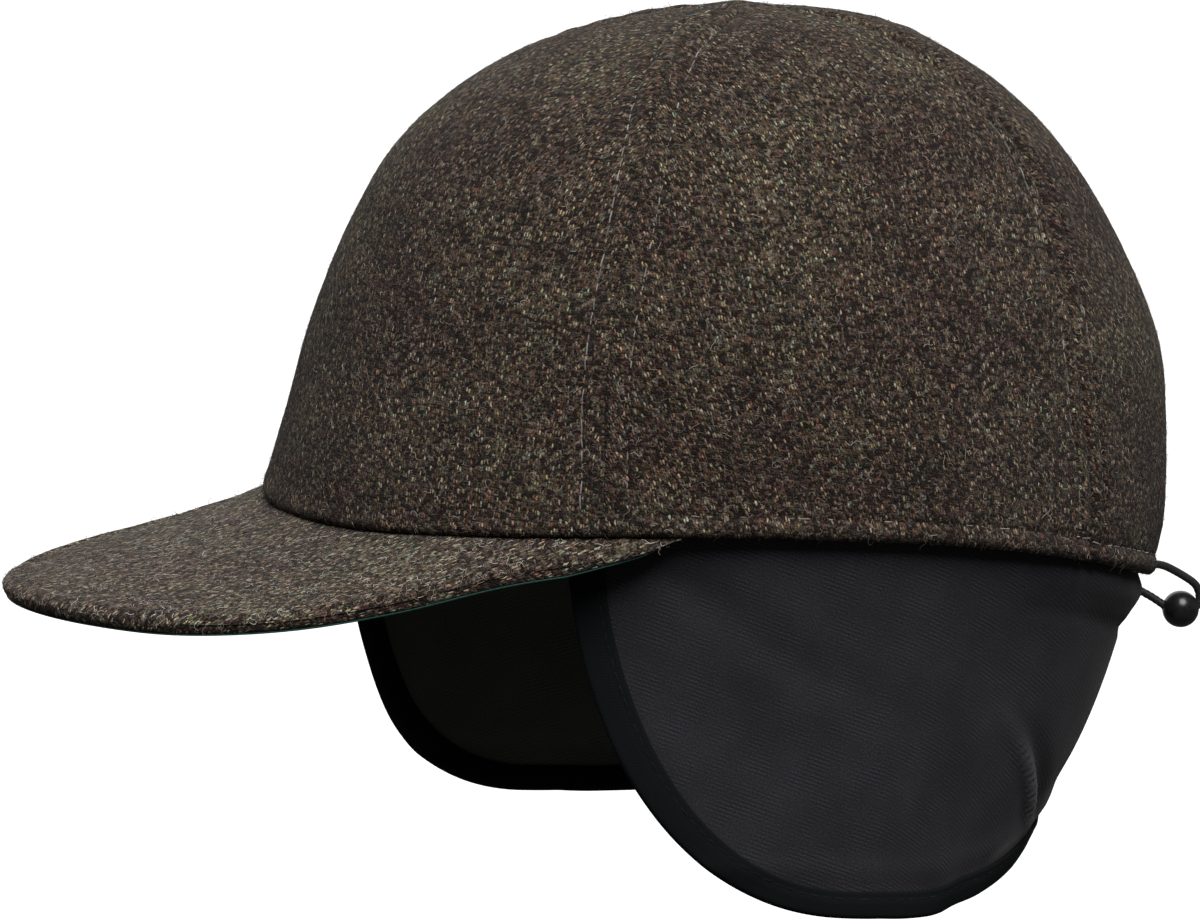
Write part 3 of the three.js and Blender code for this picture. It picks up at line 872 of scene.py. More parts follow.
def makeCordMaterial():
    # braided elastic, with painted shade in the hollows between the strands and painted light on each
    # strand's crown
    material, tree, shader = newMaterial("braidedElastic", Roughness=0.6, Sheen_Weight=0.06)
    place = clothPlace(tree)
    paintedStrandShade = put(tree, "ShaderNodeAttribute", {"attribute_name": "paintedStrandShade"}).outputs["Fac"]
    fine = noiseOf(tree, place, 6.0, 2.0)
    value = times(tree, paintedStrandShade, plus(tree, 0.6, times(tree, fine, 0.8)))
    colour = ramp(tree, value, [(0.1, (0.003, 0.003, 0.003)), (1.0, (0.017, 0.017, 0.016))])
    paint(tree, shader, colour, fine, 0.4, 0.05 * mm)
    return material


def braid(along, turn):
    # two sets of strands that cross over and under each other
    count = cord["strands"]
    climb = along / cord["strandPitch"] * 2 * math.pi
    left = np.cos(count / 2 * turn + climb * 2)
    right = np.cos(count / 2 * turn - climb * 2)
    over = np.cos(climb * 4) > 0
    return 0.94 + 0.06 * np.where(over, np.maximum(left, 0.4 * right), np.maximum(right, 0.4 * left))


def makeCord():
    path = evenly(smoothPath(cordRoute) * mm, 560)
    piece = sweep("elasticCord", path, cord["diameter"] / 2, 20, makeCordMaterial(), braid)
    along = lengthsAlong(path)
    turn = np.arange(20) / 20 * 2 * math.pi
    # how far each strand stands up, kept for the painted shade and light of the braid
    paintedStrandShade = (braid(along[:, None], turn[None, :]) - 0.94) / 0.06
    addValue(piece, "paintedStrandShade", np.concatenate([paintedStrandShade.ravel(), [0, 0]]))
    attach(piece, "root")
    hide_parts("drawcord")
    return piece, path


def makeBeadMaterial():
    # moulded plastic with a faint mottle
    material, tree, shader = newMaterial("mouldedBead", IOR=1.5, Specular_IOR_Level=0.3)
    place = put(tree, "ShaderNodeTexCoord").outputs["Object"]
    mottle = noiseOf(tree, place, 900.0, 3.0, 0.6)
    feed(tree, shader.inputs["Roughness"], span(tree, mottle, 0.3, 0.7, 0.22, 0.30))
    colour = ramp(tree, mottle, [(0.3, (0.006, 0.006, 0.007)), (0.7, (0.011, 0.011, 0.012))])
    paint(tree, shader, colour, mottle, 0.15, 0.05 * mm)
    return material


def makeBead(path):
    centre = Vector(cord["beadPlace"])
    material = makeBeadMaterial()
    rings, sides = 40, 64
    polar = np.linspace(0, math.pi, rings + 1)[1:-1]
    turn = np.arange(sides) / sides * 2 * math.pi
    radius = cord["beadDiameter"] / 2
    ring = np.stack([
        np.sin(polar)[:, None] * np.cos(turn)[None, :],
        np.sin(polar)[:, None] * np.sin(turn)[None, :],
        np.broadcast_to(np.cos(polar)[:, None], (rings - 1, sides)),
    ], -1)
    points = np.concatenate([ring.reshape(-1, 3), [[0, 0, 1], [0, 0, -1]]]) * radius + np.array(centre)
    index = np.arange((rings - 1) * sides).reshape(rings - 1, sides)
    around = np.roll(index, -1, axis=1)
    faces = np.stack([index[:-1], index[1:], around[1:], around[:-1]], -1).reshape(-1, 4).tolist()
    top, bottom = (rings - 1) * sides, (rings - 1) * sides + 1
    faces += [[int(index[0, k]), int(around[0, k]), top] for k in range(sides)]
    faces += [[int(around[-1, k]), int(index[-1, k]), bottom] for k in range(sides)]
    ball = newObject("beadBall", points, faces, [material])
    near = np.linalg.norm(path - np.array(centre), axis=1) < radius * 1.5
    bore = sweep("beadBore", path[near][::3], cord["diameter"] / 2 + 0.2 * mm, 24, material)
    cut = ball.modifiers.new("bore", "BOOLEAN")
    cut.operation = "DIFFERENCE"
    cut.solver = "EXACT"
    cut.object = bore
    graph = bpy.context.evaluated_depsgraph_get()
    mesh = bpy.data.meshes.new_from_object(ball.evaluated_get(graph))
    bpy.data.objects.remove(ball)
    bpy.data.objects.remove(bore)
    piece = bpy.data.objects.new("slidingBead", mesh)
    bpy.context.collection.objects.link(piece)
    mesh.shade_smooth()
    mesh.set_sharp_from_angle(angle=math.radians(40))
    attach(piece, "root")
    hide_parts("cord_bead")
    return piece


cordPiece, cordPath = makeCord()
beadPiece = makeBead(cordPath)
print("cord and bead made")

crown = {
    "height": 117 * mm,
    "setback": 6.5 * mm,
    "hemTilt": 12.6 * mm,
    "hemWave": -5.6 * mm,
    "squareness": 2.15,
    "cloth": 2.2 * mm,
    "hemCloth": 3.0 * mm,
    "seamDip": 1.0 * mm,
    "seamWidth": 1.7 * mm,
    "seamPuff": 0.35 * mm,
    "seamRipple": 0.16 * mm,
    "stitchOffset": 5.0 * mm,
    "hemStitch": 4.7 * mm,
    "groove": 0.6 * mm,
    "pucker": 1.1 * mm,
    "edgeRoll": 1.45 * mm,
    "hemPuff": 0.42 * mm,
    "hemGroove": 0.38 * mm,
    "hairs": 350000.0,  # for each square metre
    "hairLength": 1.7 * mm,
    "hairWidth": 0.07 * mm,
    "hairStand": 0.14,
    "hairRoll": 0.5,
}

# crown sections from the hem to the top, in millimetres and degrees
crownSections = [
    {"lift": 0, "front": 104, "back": 104, "half": 86.2, "frontSeam": 54.5, "sideSeam": 122},
    {"lift": 0.12, "front": 100.4, "back": 106.5, "half": 85.7, "frontSeam": 53.5, "sideSeam": 121.5},
    {"lift": 0.25, "front": 96.3, "back": 107.2, "half": 84.3, "frontSeam": 52, "sideSeam": 120},
    {"lift": 0.4, "front": 91.8, "back": 105.6, "half": 81.5, "frontSeam": 51.5, "sideSeam": 119.5},
    {"lift": 0.55, "front": 85.7, "back": 97.8, "half": 76.1, "frontSeam": 52, "sideSeam": 121.5},
    {"lift": 0.7, "front": 77.2, "back": 85.7, "half": 67.5, "frontSeam": 52.5, "sideSeam": 125.5},
    {"lift": 0.82, "front": 64.9, "back": 71.3, "half": 56.3, "frontSeam": 51.5, "sideSeam": 129},
    {"lift": 0.92, "front": 44.9, "back": 52.9, "half": 40.2, "frontSeam": 48.5, "sideSeam": 133},
    {"lift": 0.975, "front": 23.1, "back": 34.5, "half": 23.6, "frontSeam": 44, "sideSeam": 137},
    {"lift": 1, "front": 0, "back": 0, "half": 0, "frontSeam": 42, "sideSeam": 140},
]
for section in crownSections:
    section["climbed"] = 1 - math.sqrt(1 - section["lift"])


def hemHeight(angle):
    turn = np.radians(angle)
    return crown["hemTilt"] * np.cos(turn) + crown["hemWave"] * np.cos(2 * turn)


def crownSurface(angle, climbed):
    front = readTable(crownSections, "climbed", "front", climbed) * mm
    back = readTable(crownSections, "climbed", "back", climbed) * mm
    half = readTable(crownSections, "climbed", "half", climbed) * mm
    lift = 1 - (1 - climbed) ** 2
    x, y = planPoint(front, back, half, angle, crown["squareness"] * (1 - lift) + 2 * lift)
    hem = hemHeight(angle)
    return np.stack([x, y + crown["setback"] * climbed, hem + (crown["height"] - hem) * lift], -1)


def frontSeam(climbed):
    return float(readTable(crownSections, "climbed", "frontSeam", climbed))


def sideSeam(climbed):
    return float(readTable(crownSections, "climbed", "sideSeam", climbed))


crownPanels = [
    {"name": "crownPanelFront", "cut": 0.0, "node": "crown_panel_front",
     "columns": 104, "start": lambda c: -frontSeam(c), "end": frontSeam},
    {"name": "crownPanelSideLeft", "cut": 0.0, "node": "crown_panel_side_left",
     "columns": 66, "start": frontSeam, "end": sideSeam},
    {"name": "crownPanelBackLeft", "cut": 0.7, "node": "crown_panel_back_left",
     "columns": 54, "start": sideSeam, "end": lambda c: 180.0},
    {"name": "crownPanelBackRight", "cut": 1.3, "node": "crown_panel_back_right",
     "columns": 54, "start": lambda c: 180.0, "end": lambda c: 360 - sideSeam(c)},
    {"name": "crownPanelSideRight", "cut": 2.1, "node": "crown_panel_side_right",
     "columns": 66, "start": lambda c: 360 - sideSeam(c), "end": lambda c: 360 - frontSeam(c)},
]

# unevenness of the cloth between its seams: its size and depth in millimetres, and a seed
crownSlack = [
    (46, 1.1, 1),
    (17, 0.28, 2),
    (6, 0.10, 3),
]

# fine lines beside a seam and above the hem, in millimetres from it
linesBySeam = mm * np.array([0, 0.25, 0.6, 1.1, 1.7, 2.5, 3.3, 3.9, 4.3,
                             4.6, 4.8, 5.0, 5.2, 5.4, 5.7, 6.2, 7.0, 8.2])
linesByHem = mm * np.array([0.04, 0.12, 0.4, 0.8, 1.3, 1.9, 2.6, 3.3, 3.8,
                            4.2, 4.5, 4.7, 4.9, 5.2, 5.6, 6.2, 7.2, 8.6])


def seamRelief(distance, along, seed):
    # how far the cloth stands off its plain surface near a seam and its stitch row
    dip = -crown["seamDip"] * np.clip(1 - distance / crown["seamWidth"], 0, 1) ** 2
    puff = crown["seamPuff"] * bump(distance - 2.9 * mm, 1.3 * mm)
    pull = 1 + 0.35 * np.sin(along / (3.4 * mm) * 2 * math.pi + seed)
    groove = -crown["groove"] * bump(distance - crown["stitchOffset"], 0.62 * mm) * pull
    wander = 2 * np.sin(along / (31 * mm)) + seed
    pucker = crown["seamRipple"] * np.sin(along / (8.5 * mm) * 2 * math.pi + wander)
    return dip + puff + groove + pucker * bump(distance - 3.4 * mm, 3.2 * mm)


def crownMeridian(panel):
    # heights above the hem, measured over the cloth up the middle of a panel
    climbed = np.linspace(0, 0.9996, 900)
    middle = np.array([(panel["start"](c) + panel["end"](c)) / 2 for c in climbed])
    return lengthsAlong(crownSurface(middle, climbed)), climbed


def crownRow(panel, climbed, height, across):
    # one row of a panel: across(width) gives the distances from its first seam
    fine = np.linspace(panel["start"](climbed), panel["end"](climbed), 181)
    along = lengthsAlong(crownSurface(fine, np.full(181, climbed)))
    width = along[-1]
    offset = across(width)
    angle = np.interp(offset, along, fine)
    point, normal, _, _ = surfaceFrame(crownSurface, angle, np.full(len(angle), climbed))
    fade = min(1, width / (30 * mm))
    fromFirst = offset / max(fade, 0.05)
    fromLast = (width - offset) / max(fade, 0.05)
    relief = seamRelief(fromFirst, height, 0.3) * fade
    relief = relief + seamRelief(fromLast, height, 1.9) * fade
    # the hem: a soft roll below its stitch row, and no stitches where the peak is sewn on
    turned = (angle + 180) % 360 - 180
    sewn = softStep(56, 62, np.abs(turned))
    seams = softStep(0, 6 * mm, np.minimum(fromFirst, fromLast))
    lumps = 1 + 0.7 * ripple(point, 4.2 * mm, 21) + 0.4 * ripple(point, 11 * mm, 22)
    relief = relief + crown["hemPuff"] * bump(height - 2.4 * mm, 1.8 * mm) * (0.4 + 0.6 * sewn) * lumps
    stitchPull = 1 + 0.45 * np.sin(np.radians(turned) * 90 / 3.4 * 2 * math.pi)
    relief = relief - crown["hemGroove"] * bump(height - crown["hemStitch"], 0.75 * mm) * sewn * stitchPull
    slack = sum(ripple(point, size * mm, seed) * deep * mm for size, deep, seed in crownSlack)
    relief = relief + slack * seams * softStep(2 * mm, 12 * mm, height) * fade
    # the very edge rolls under
    below = 1 - min(height / (1.5 * mm), 1)
    under = crown["edgeRoll"] * (1 - math.sqrt(max(1 - below ** 2, 0)))
    outer = point + normal * (relief - under)[:, None]
    thinner = crown["cloth"] - crown["hemCloth"]
    thickness = crown["hemCloth"] + thinner * softStep(5 * mm, 6.5 * mm, height)
    # inside, the seam allowances lie flat under the stitch rows
    allowance = 0.5 * mm * (1 - softStep(5.6 * mm, 6.3 * mm, np.minimum(fromFirst, fromLast)))
    thickness = thickness + allowance * softStep(6 * mm, 9 * mm, height) * fade
    inner = point - normal * (np.maximum(thickness - under, 1.5 * mm))[:, None]
    middle = width / 2
    # each panel is cut from its own part of the cloth
    uv = np.stack([offset - middle + 0.5, np.full(len(offset), height + panel["cut"])], -1)
    # the seams meet in a small pucker at the top
    for cloth in (outer, inner):
        fromTop = np.hypot(cloth[:, 0], cloth[:, 1] - crown["setback"])
        cloth[:, 2] += crown["pucker"] * bump(fromTop, 5 * mm)
    return outer, inner, uv, normal


def crownAcross(columns):
    def across(width):
        squeeze = min(1, width / (2.6 * linesBySeam[-1]))
        near = linesBySeam * squeeze
        between = np.linspace(near[-1], width - near[-1], columns + 2)[1:-1]
        return np.concatenate([near, between, (width - near)[::-1]])
    return across


def makeCrownPanel(panel):
    lengths, climbs = crownMeridian(panel)
    top = lengths[-1]
    rows = int((top - linesByHem[-1]) / (1.55 * mm))
    heights = np.concatenate([linesByHem, np.linspace(linesByHem[-1], top, rows)[1:]])
    across = crownAcross(panel["columns"])
    grid = [crownRow(panel, float(np.interp(h, lengths, climbs)), h, across) for h in heights]
    outer, inner, uv = (np.array([row[k] for row in grid]) for k in range(3))
    piece = clothBody(panel["name"], outer, inner, uv, [tweedFace, tweedBack])
    isOuter = np.zeros(len(piece.data.vertices))
    isOuter[:outer.shape[0] * outer.shape[1]] = 1
    addValue(piece, "nap", isOuter)
    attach(piece, "root")
    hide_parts(panel["node"])
    return piece


def panelLine(panel, place, fromStart, low, high):
    # a line up a panel at a distance from its first or last seam, with the cloth's normals
    lengths, climbs = crownMeridian(panel)
    path, standing = [], []
    for h in np.linspace(low, lengths[-1] - high, 160):
        def across(width):
            squeeze = min(1, width / (30 * mm))
            return np.array([place * squeeze if fromStart else width - place * squeeze])
        outer, _, _, normal = crownRow(panel, float(np.interp(h, lengths, climbs)), h, across)
        path.append(outer[0])
        standing.append(normal[0])
    return np.array(path), np.array(standing)


def hemLine(panel):
    # the stitch row along the hem of one panel
    lengths, climbs = crownMeridian(panel)
    h = crown["hemStitch"]
    count = 220
    outer, _, _, normal = crownRow(panel, float(np.interp(h, lengths, climbs)), h,
                                   lambda width: np.linspace(0.6 * mm, width - 0.6 * mm, count))
    angle = np.degrees(np.arctan2(outer[:, 0], -outer[:, 1]))
    keep = np.abs(angle) > 60
    return [(outer[keep], normal[keep])] if keep.sum() > 4 else []


# the hem's stitches lie deeper in the cloth than those beside the seams
seamStitch = {
    "pitch": 3.4 * mm,
    "length": 2.7 * mm,
    "thread": 0.34 * mm,
    "arch": 0.2 * mm,
    "sink": 0.30 * mm,
    "unevenness": 0.14,
}
hemStitch = dict(seamStitch, sink=0.47 * mm)


def makeCrown():
    rows, hemRows = [], []
    for panel in crownPanels:
        piece = makeCrownPanel(panel)
        rows.append(panelLine(panel, crown["stitchOffset"], True, 6 * mm, 3 * mm))
        rows.append(panelLine(panel, crown["stitchOffset"], False, 6 * mm, 3 * mm))
        hemRows += hemLine(panel)
        growNap(piece, crown, 20 + len(rows), woolHair)
    sew("crownStitches", rows, seamStitch, crownThread, "tweed", 5)
    sew("hemStitches", hemRows, hemStitch, crownThread, "tweed", 15)


makeCrown()
print("crown made")

peak = {
    "angle": 64.4,
    "thickness": 3.4 * mm,
    "shoulder": 4.6 * mm,
    "seat": 0.45 * mm,
    "hollow": 0.035,
    "rootInset": 1.5 * mm,
    "allowance": 6.0 * mm,
    "edgeDrop": 0.8 * mm,
    "edgeFall": 1.9 * mm,
    "lining": 1.0 * mm,
    "liningGap": 0.3 * mm,
    "liningInset": 0.9 * mm,
    "hairs": 1.0e6,  # for each square metre
    "hairLength": 1.7 * mm,
    "hairWidth": 0.08 * mm,
    "hairStand": 0.02,
    "hairRoll": 0.25,
    "columns": 150,
}

# left half of the peak's edge, in millimetres, from the middle of the front
peakEdge = [
    (0, -169, -5),
    (24, -164, -5.3),
    (44, -151, -5.6),
    (57, -131, -4.3),
    (62.5, -108, -1.4),
    (66.5, -82, 3.4),
]


def peakRoots(share):
    angle = -peak["angle"] + 2 * peak["angle"] * share
    point = crownSurface(angle, np.zeros_like(angle))
    length = np.hypot(point[:, 0], point[:, 1])
    point[:, :2] *= (1 - peak["rootInset"] / length)[:, None]
    point[:, 2] -= peak["seat"]
    return point


def peakRim():
    left = [np.array(corner, float) for corner in peakEdge]
    right = [corner * [-1, 1, 1] for corner in left[1:]][::-1]
    corners = [crownSurface(np.array([side * peak["angle"]]), np.zeros(1))[0] / mm for side in (-1, 1)]
    corners = [corner + [side * 1.2, 0, -1.2] for corner, side in zip(corners, (-1, 1))]
    return smoothPath([corners[0], *right, *left, corners[1]], 40) * mm


def peakGrid(columns):
    share = np.linspace(0, 1, columns)
    root = peakRoots(share)
    rim = evenly(peakRim(), columns)
    return share, tuckEnds(share, root), tuckEnds(share, rim)


def peakFullness(share):
    fromEnd = np.minimum(share, 1 - share) / 0.08
    return 0.12 + 0.88 * np.clip(fromEnd, 0, 1) ** 0.8


def tuckEnds(share, points):
    # the two ends of the peak run in and up under the hem
    tuck = 1 - softStep(0, 0.035, np.minimum(share, 1 - share))
    inwards = unit(points * [-1, -1, 0])
    points = points + inwards * (2.2 * mm * tuck)[:, None]
    points[:, 2] += 0.9 * mm * tuck
    return points


def peakRows(near, inward, length):
    # distances of the rows from the edge: fine ones round the roll, then wider ones up to the crown
    share = 0.24  # where the peak is short, the fine rows take this share of it at most
    start = np.minimum(near[-1], length * share)
    rows = [np.minimum(line, length * share * line / near[-1]) for line in near]
    return rows + [start + (length - start) * step for step in inward]


def peakDepth(away):
    # thickness of the peak, which is fuller near its edge
    return peak["thickness"] + peak["edgeDrop"] * (1 - softStep(2.5 * mm, 8 * mm, away))


def makePeakCover():
    columns = peak["columns"]
    share, root, rim = peakGrid(columns)
    length = np.linalg.norm(rim - root, axis=1)
    toRim = unit(rim - root)
    full = peakFullness(share)
    near = np.array([0, 0.08, 0.3, 0.7, 1.2, 1.8, 2.5, 3.2, 3.8, 4.4, 5.0, 5.8, 7.0, 8.6]) * mm
    outer, inner = [], []
    for away in peakRows(near, np.linspace(0, 1, 34)[1:], length):
        place = 1 - away / length
        point = root + (rim - root) * place[:, None]
        dip = 4 * peak["hollow"] * length * place * (1 - place)
        roll = np.clip(1 - away / peak["shoulder"], 0, 1)
        thick = peakDepth(away)
        fall = peak["edgeFall"] * (1 - np.sqrt(1 - roll ** 2))
        rollUnder = np.clip(1 - away / (1.6 * mm), 0, 1)
        rise = (thick - peak["edgeFall"]) * (1 - np.sqrt(1 - rollUnder ** 2))
        # the cloth is drawn over the board: a faint hollow where the board ends, then the soft edge
        crease = 0.28 * mm * bump(away - 2.5 * mm, 1.3 * mm) - 0.38 * mm * bump(away - 4.7 * mm, 1.1 * mm)
        wave = ripple(point, 30 * mm, 5) * 0.5 * mm + ripple(point, 8 * mm, 6) * 0.14 * mm
        pucker = ripple(point, 4.5 * mm, 9) * 0.18 * mm * bump(away - 1.5 * mm, 2.2 * mm)
        top, under = point.copy(), point.copy()
        top[:, 2] += -fall * full - dip + (crease + wave + pucker) * full * softStep(0, 6 * mm, length)
        under[:, 2] += -(thick - rise) * full - dip
        outer.append(top)
        inner.append(under)
    # the seam allowance goes in under the hem and turns up inside the crown
    shown = len(outer)
    inwards = unit(root * [-1, -1, 0])
    for step, up in ((0.3, 0), (0.6, 0), (0.85, 0.8), (1.0, 2.6), (1.05, 5.0)):
        held = inwards * peak["allowance"] * step
        held[:, 2] = up * mm
        outer.append(outer[shown - 1] + held)
        cloth = inwards * 1.6 * mm * min(up, 1)
        cloth[:, 2] -= (1.6 + 1.6 * (1 - step)) * mm * full * (1 - min(up / 5, 1))
        inner.append(outer[-1] + cloth)
    outer, inner = np.array(outer), np.array(inner)
    walked = lengthsOver(outer[::-1])[::-1]
    flatly = lengthsOver(outer[::-1, :, :2])[::-1]
    # the cloth lies as seen from above, and goes on straight out where it rolls over the edge
    along = unit(np.gradient(rim[:, :2], axis=0))
    outwards = np.stack([along[:, 1], -along[:, 0]], axis=1)
    outwards *= np.sign(np.sum(outwards * toRim[:, :2], axis=1))[:, None]
    uv = outer[..., :2] + outwards[None] * (walked - flatly)[..., None]
    underUv = uv[:1] + outwards[None] * lengthsOver(inner)[..., None]
    piece = clothBody("peakCover", outer, inner, uv * [1, -1], [tweedPeak], innerUv=underUv * [1, -1])
    isTop = np.zeros(len(piece.data.vertices))
    isTop[:shown * columns] = 1
    addValue(piece, "nap", isTop)
    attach(piece, "root")
    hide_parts("peak_cover")
    growNap(piece, peak, 71, peakHair)


def makeLiningMaterial():
    # plain woven cloth: fine threads over and under
    material, tree, shader = newMaterial("peakLiningCloth", Roughness=0.9, Sheen_Weight=0.05,
                                         Specular_IOR_Level=0.15)
    place = clothPlace(tree)
    parts = put(tree, "ShaderNodeSeparateXYZ", Vector=place).outputs
    threads = []
    for part, shift in ((parts[0], 0.0), (parts[1], 0.5)):
        wave = calc(tree, "SINE", times(tree, plus(tree, part, shift), math.pi / 0.32))
        threads.append(calc(tree, "ABSOLUTE", wave))
    height = times(tree, threads[0], threads[1])
    tone = noiseOf(tree, place, 1.2, 3.0)
    mixed = plus(tree, times(tree, height, 0.5), times(tree, tone, 0.5))
    colour = ramp(tree, mixed, [(0.2, (0.007, 0.036, 0.028)), (0.8, (0.020, 0.080, 0.063))])
    paint(tree, shader, colour, height, 0.5, 0.08 * mm)
    return material


def makePeakLining():
    columns = peak["columns"]
    share, root, rim = peakGrid(columns)
    length = np.linalg.norm(rim - root, axis=1)
    full = peakFullness(share)
    near = np.array([0, 0.1, 0.35, 0.8, 1.6, 3.0, 5.0, 8.0]) * mm
    outer, inner, uvs = [], [], []
    for away in peakRows(near, np.linspace(0, 1, 26)[1:], length - peak["liningInset"]):
        away = away + peak["liningInset"]
        place = 1 - away / length
        point = root + (rim - root) * place[:, None]
        dip = 4 * peak["hollow"] * length * place * (1 - place)
        # the turned edge is thin, and the cloth lies level with the inside of the peak
        turned = 0.3 * mm * np.clip(1 - (away - peak["liningInset"]) / (0.8 * mm), 0, 1) ** 2
        depth = peakDepth(away) + 0.08 * mm
        sag = ripple(point, 22 * mm, 8) * 0.12 * mm * softStep(3 * mm, 8 * mm, away)
        top, under = point.copy(), point.copy()
        top[:, 2] += -depth * full - dip
        bottom = np.maximum(peak["thickness"] + peak["liningGap"] + peak["lining"], depth + 0.35 * mm)
        under[:, 2] += -(bottom - turned + sag) * full - dip
        outer.append(top)
        inner.append(under)
        uvs.append(np.stack([point[:, 0] + 0.5, -point[:, 1]], -1))
    piece = clothBody("peakUnderCloth", np.array(outer), np.array(inner), np.array(uvs),
                      [makeLiningMaterial()])
    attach(piece, "root")
    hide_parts("peak_lining")


makePeakCover()
makePeakLining()
print("peak made")

# the band's drops, tuck and slack are in millimetres, and its angles in degrees from the front
band = {
    "cloth": 1.4 * mm,
    "tuck": 12.0,
    "frontAngle": 46.0,
    "lowAngle": 85.0,
    "drop": 83.0,
    "napeDrop": 52.0,
    "earShare": 0.42,
    "foldAngle": 120.5,
    "foldDrop": 42.0,
    "foldHeight": 1.9 * mm,
    "foldValley": 1.3 * mm,
    "casingHeight": 2.6 * mm,
    "slack": 1.4,
    "bindingFront": 7.0 * mm,
    "bindingLow": 5.0 * mm,
    "bindingCloth": 0.8 * mm,
    "gap": 0.3 * mm,
}

# band sections from the strip tucked inside the hem downwards, in millimetres
bandSections = [
    {"drop": -12, "front": 90.2, "back": 101, "half": 81.3},
    {"drop": 0, "front": 90.5, "back": 99.8, "half": 81.9},
    {"drop": 20, "front": 90.3, "back": 92.6, "half": 81.4},
    {"drop": 40, "front": 90.3, "back": 81.5, "half": 82.2},
    {"drop": 60, "front": 90.5, "back": 66, "half": 82.6},
    {"drop": 90, "front": 91, "back": 43.5, "half": 82.4},
]


def bandSurface(angle, drop):
    reaches = (readTable(bandSections, "drop", side, drop) * mm for side in ("front", "back", "half"))
    x, y = planPoint(*reaches, angle, crown["squareness"])
    return np.stack([x, y, hemHeight(angle) - drop * mm], -1)


def backEdge(rest):
    # how far the edge hangs below the hem, from its lowest place (0) to the nape (1)
    return band["drop"] + (band["napeDrop"] - band["drop"]) * (1 - np.cos(math.pi * rest)) / 2


def fromEdge(turned, drop):
    # distance up from the edge, behind its lowest place, at an angle from the front
    rest = np.clip((turned - band["lowAngle"]) / (180 - band["lowAngle"]), 0, 1)
    return backEdge(rest) - drop


def bandEdge(share):
    # free edge of the band from the temple (0) to the nape (1)
    share = np.asarray(share, float)
    turn = np.clip(share / band["earShare"], 0, 1) * math.pi / 2
    frontAngle = band["lowAngle"] - (band["lowAngle"] - band["frontAngle"]) * np.cos(turn)
    frontDrop = band["drop"] * np.sin(turn)
    rest = np.clip((share - band["earShare"]) / (1 - band["earShare"]), 0, 1)
    backAngle = band["lowAngle"] + (180 - band["lowAngle"]) * rest
    ahead = share < band["earShare"]
    return np.where(ahead, frontAngle, backAngle), np.where(ahead, frontDrop, backEdge(rest))


def bothSides(whole):
    # from temple to temple round the back: 0 to 2
    share = np.where(whole <= 1, whole, 2 - whole)
    return share, whole <= 1


def besideFold(turned, drop):
    # degrees from the crest of the fold behind the ear, which slants back as it goes down
    return turned - band["foldAngle"] - (drop - band["foldDrop"])


def bandSlack(point, drop, angle):
    # how far the stretch cloth stands off its plain surface
    turned = np.minimum(angle, 360 - angle)
    slack = ripple(point, 38 * mm, 12) * band["slack"] * mm + ripple(point, 15 * mm, 13) * 0.35 * mm
    slack = slack * softStep(4, 40, drop)
    # the casing of the drawcord is full round the back, with its stitch line below it
    behind = softStep(100, 140, turned) * softStep(-4, 3, drop)
    casing = band["casingHeight"] * bump(drop - 3, 5.5) - 0.7 * mm * bump(drop - 12, 1.4)
    casing = casing + 0.35 * mm * ripple(point, 9 * mm, 14) * bump(drop - 4, 6)
    # behind the ear a soft fold stands up and dies away at the tape
    inFrom = fromEdge(turned, drop)
    beside = besideFold(turned, drop)
    fold = band["foldHeight"] * bump(beside, 2.2) - band["foldValley"] * bump(beside - 5.5, 3.4)
    fold = fold * softStep(32, 46, drop) * softStep(7, 15, inFrom)
    # the cloth puffs up beside the tape, most of all at the back corner
    atCorner = softStep(108, 124, turned) * (1 - softStep(146, 160, turned))
    puff = (0.45 + 0.3 * atCorner) * mm * bump(inFrom - 9.5, 2.6) * softStep(8, 20, drop)
    # a fold runs from the hem down towards the front edge
    dip = turned - 62 - (drop - 10) * 0.9
    front = -0.9 * mm * bump(dip, 6) * softStep(2, 12, drop) * (1 - softStep(26, 40, drop))
    # a long shallow fold runs down behind the ear
    hollow = (0.5 * mm * bump(turned - 105, 5) - 0.9 * mm * bump(turned - 113, 6)) * softStep(4, 20, drop)
    return slack + casing * behind + fold + puff + front + hollow


def paintedBandHighlight(angle, drop):
    # painted highlight, lightening the colour of the left side where the cloth is creased sharply:
    # down the fold, then beside the tape
    turned = np.minimum(angle, 360 - angle)
    inFrom = fromEdge(turned, drop)
    down = bump(besideFold(turned, drop), 1.3) * softStep(38, 50, drop) * softStep(6, 10, inFrom)
    beside = bump(inFrom - 7.5, 1.5) * softStep(120, 127, turned) * (1 - softStep(140, 148, turned))
    return np.maximum(down, beside) * (1 - softStep(160, 180, angle))


def bandPoint(angle, drop):
    point, normal, alongA, alongB = surfaceFrame(bandSurface, angle, drop)
    return point + normal * bandSlack(point, drop, angle)[..., None], normal, alongA, alongB


softshell = {
    "ribPitch": 0.93,
    "ribSlant": 0.344,
    "dashPitch": 1.25,
    # share and colour of the painted highlight along the band's creases
    "highlightShare": 0.8,
    "highlightColour": (0.16, 0.16, 0.17, 1.0),
}


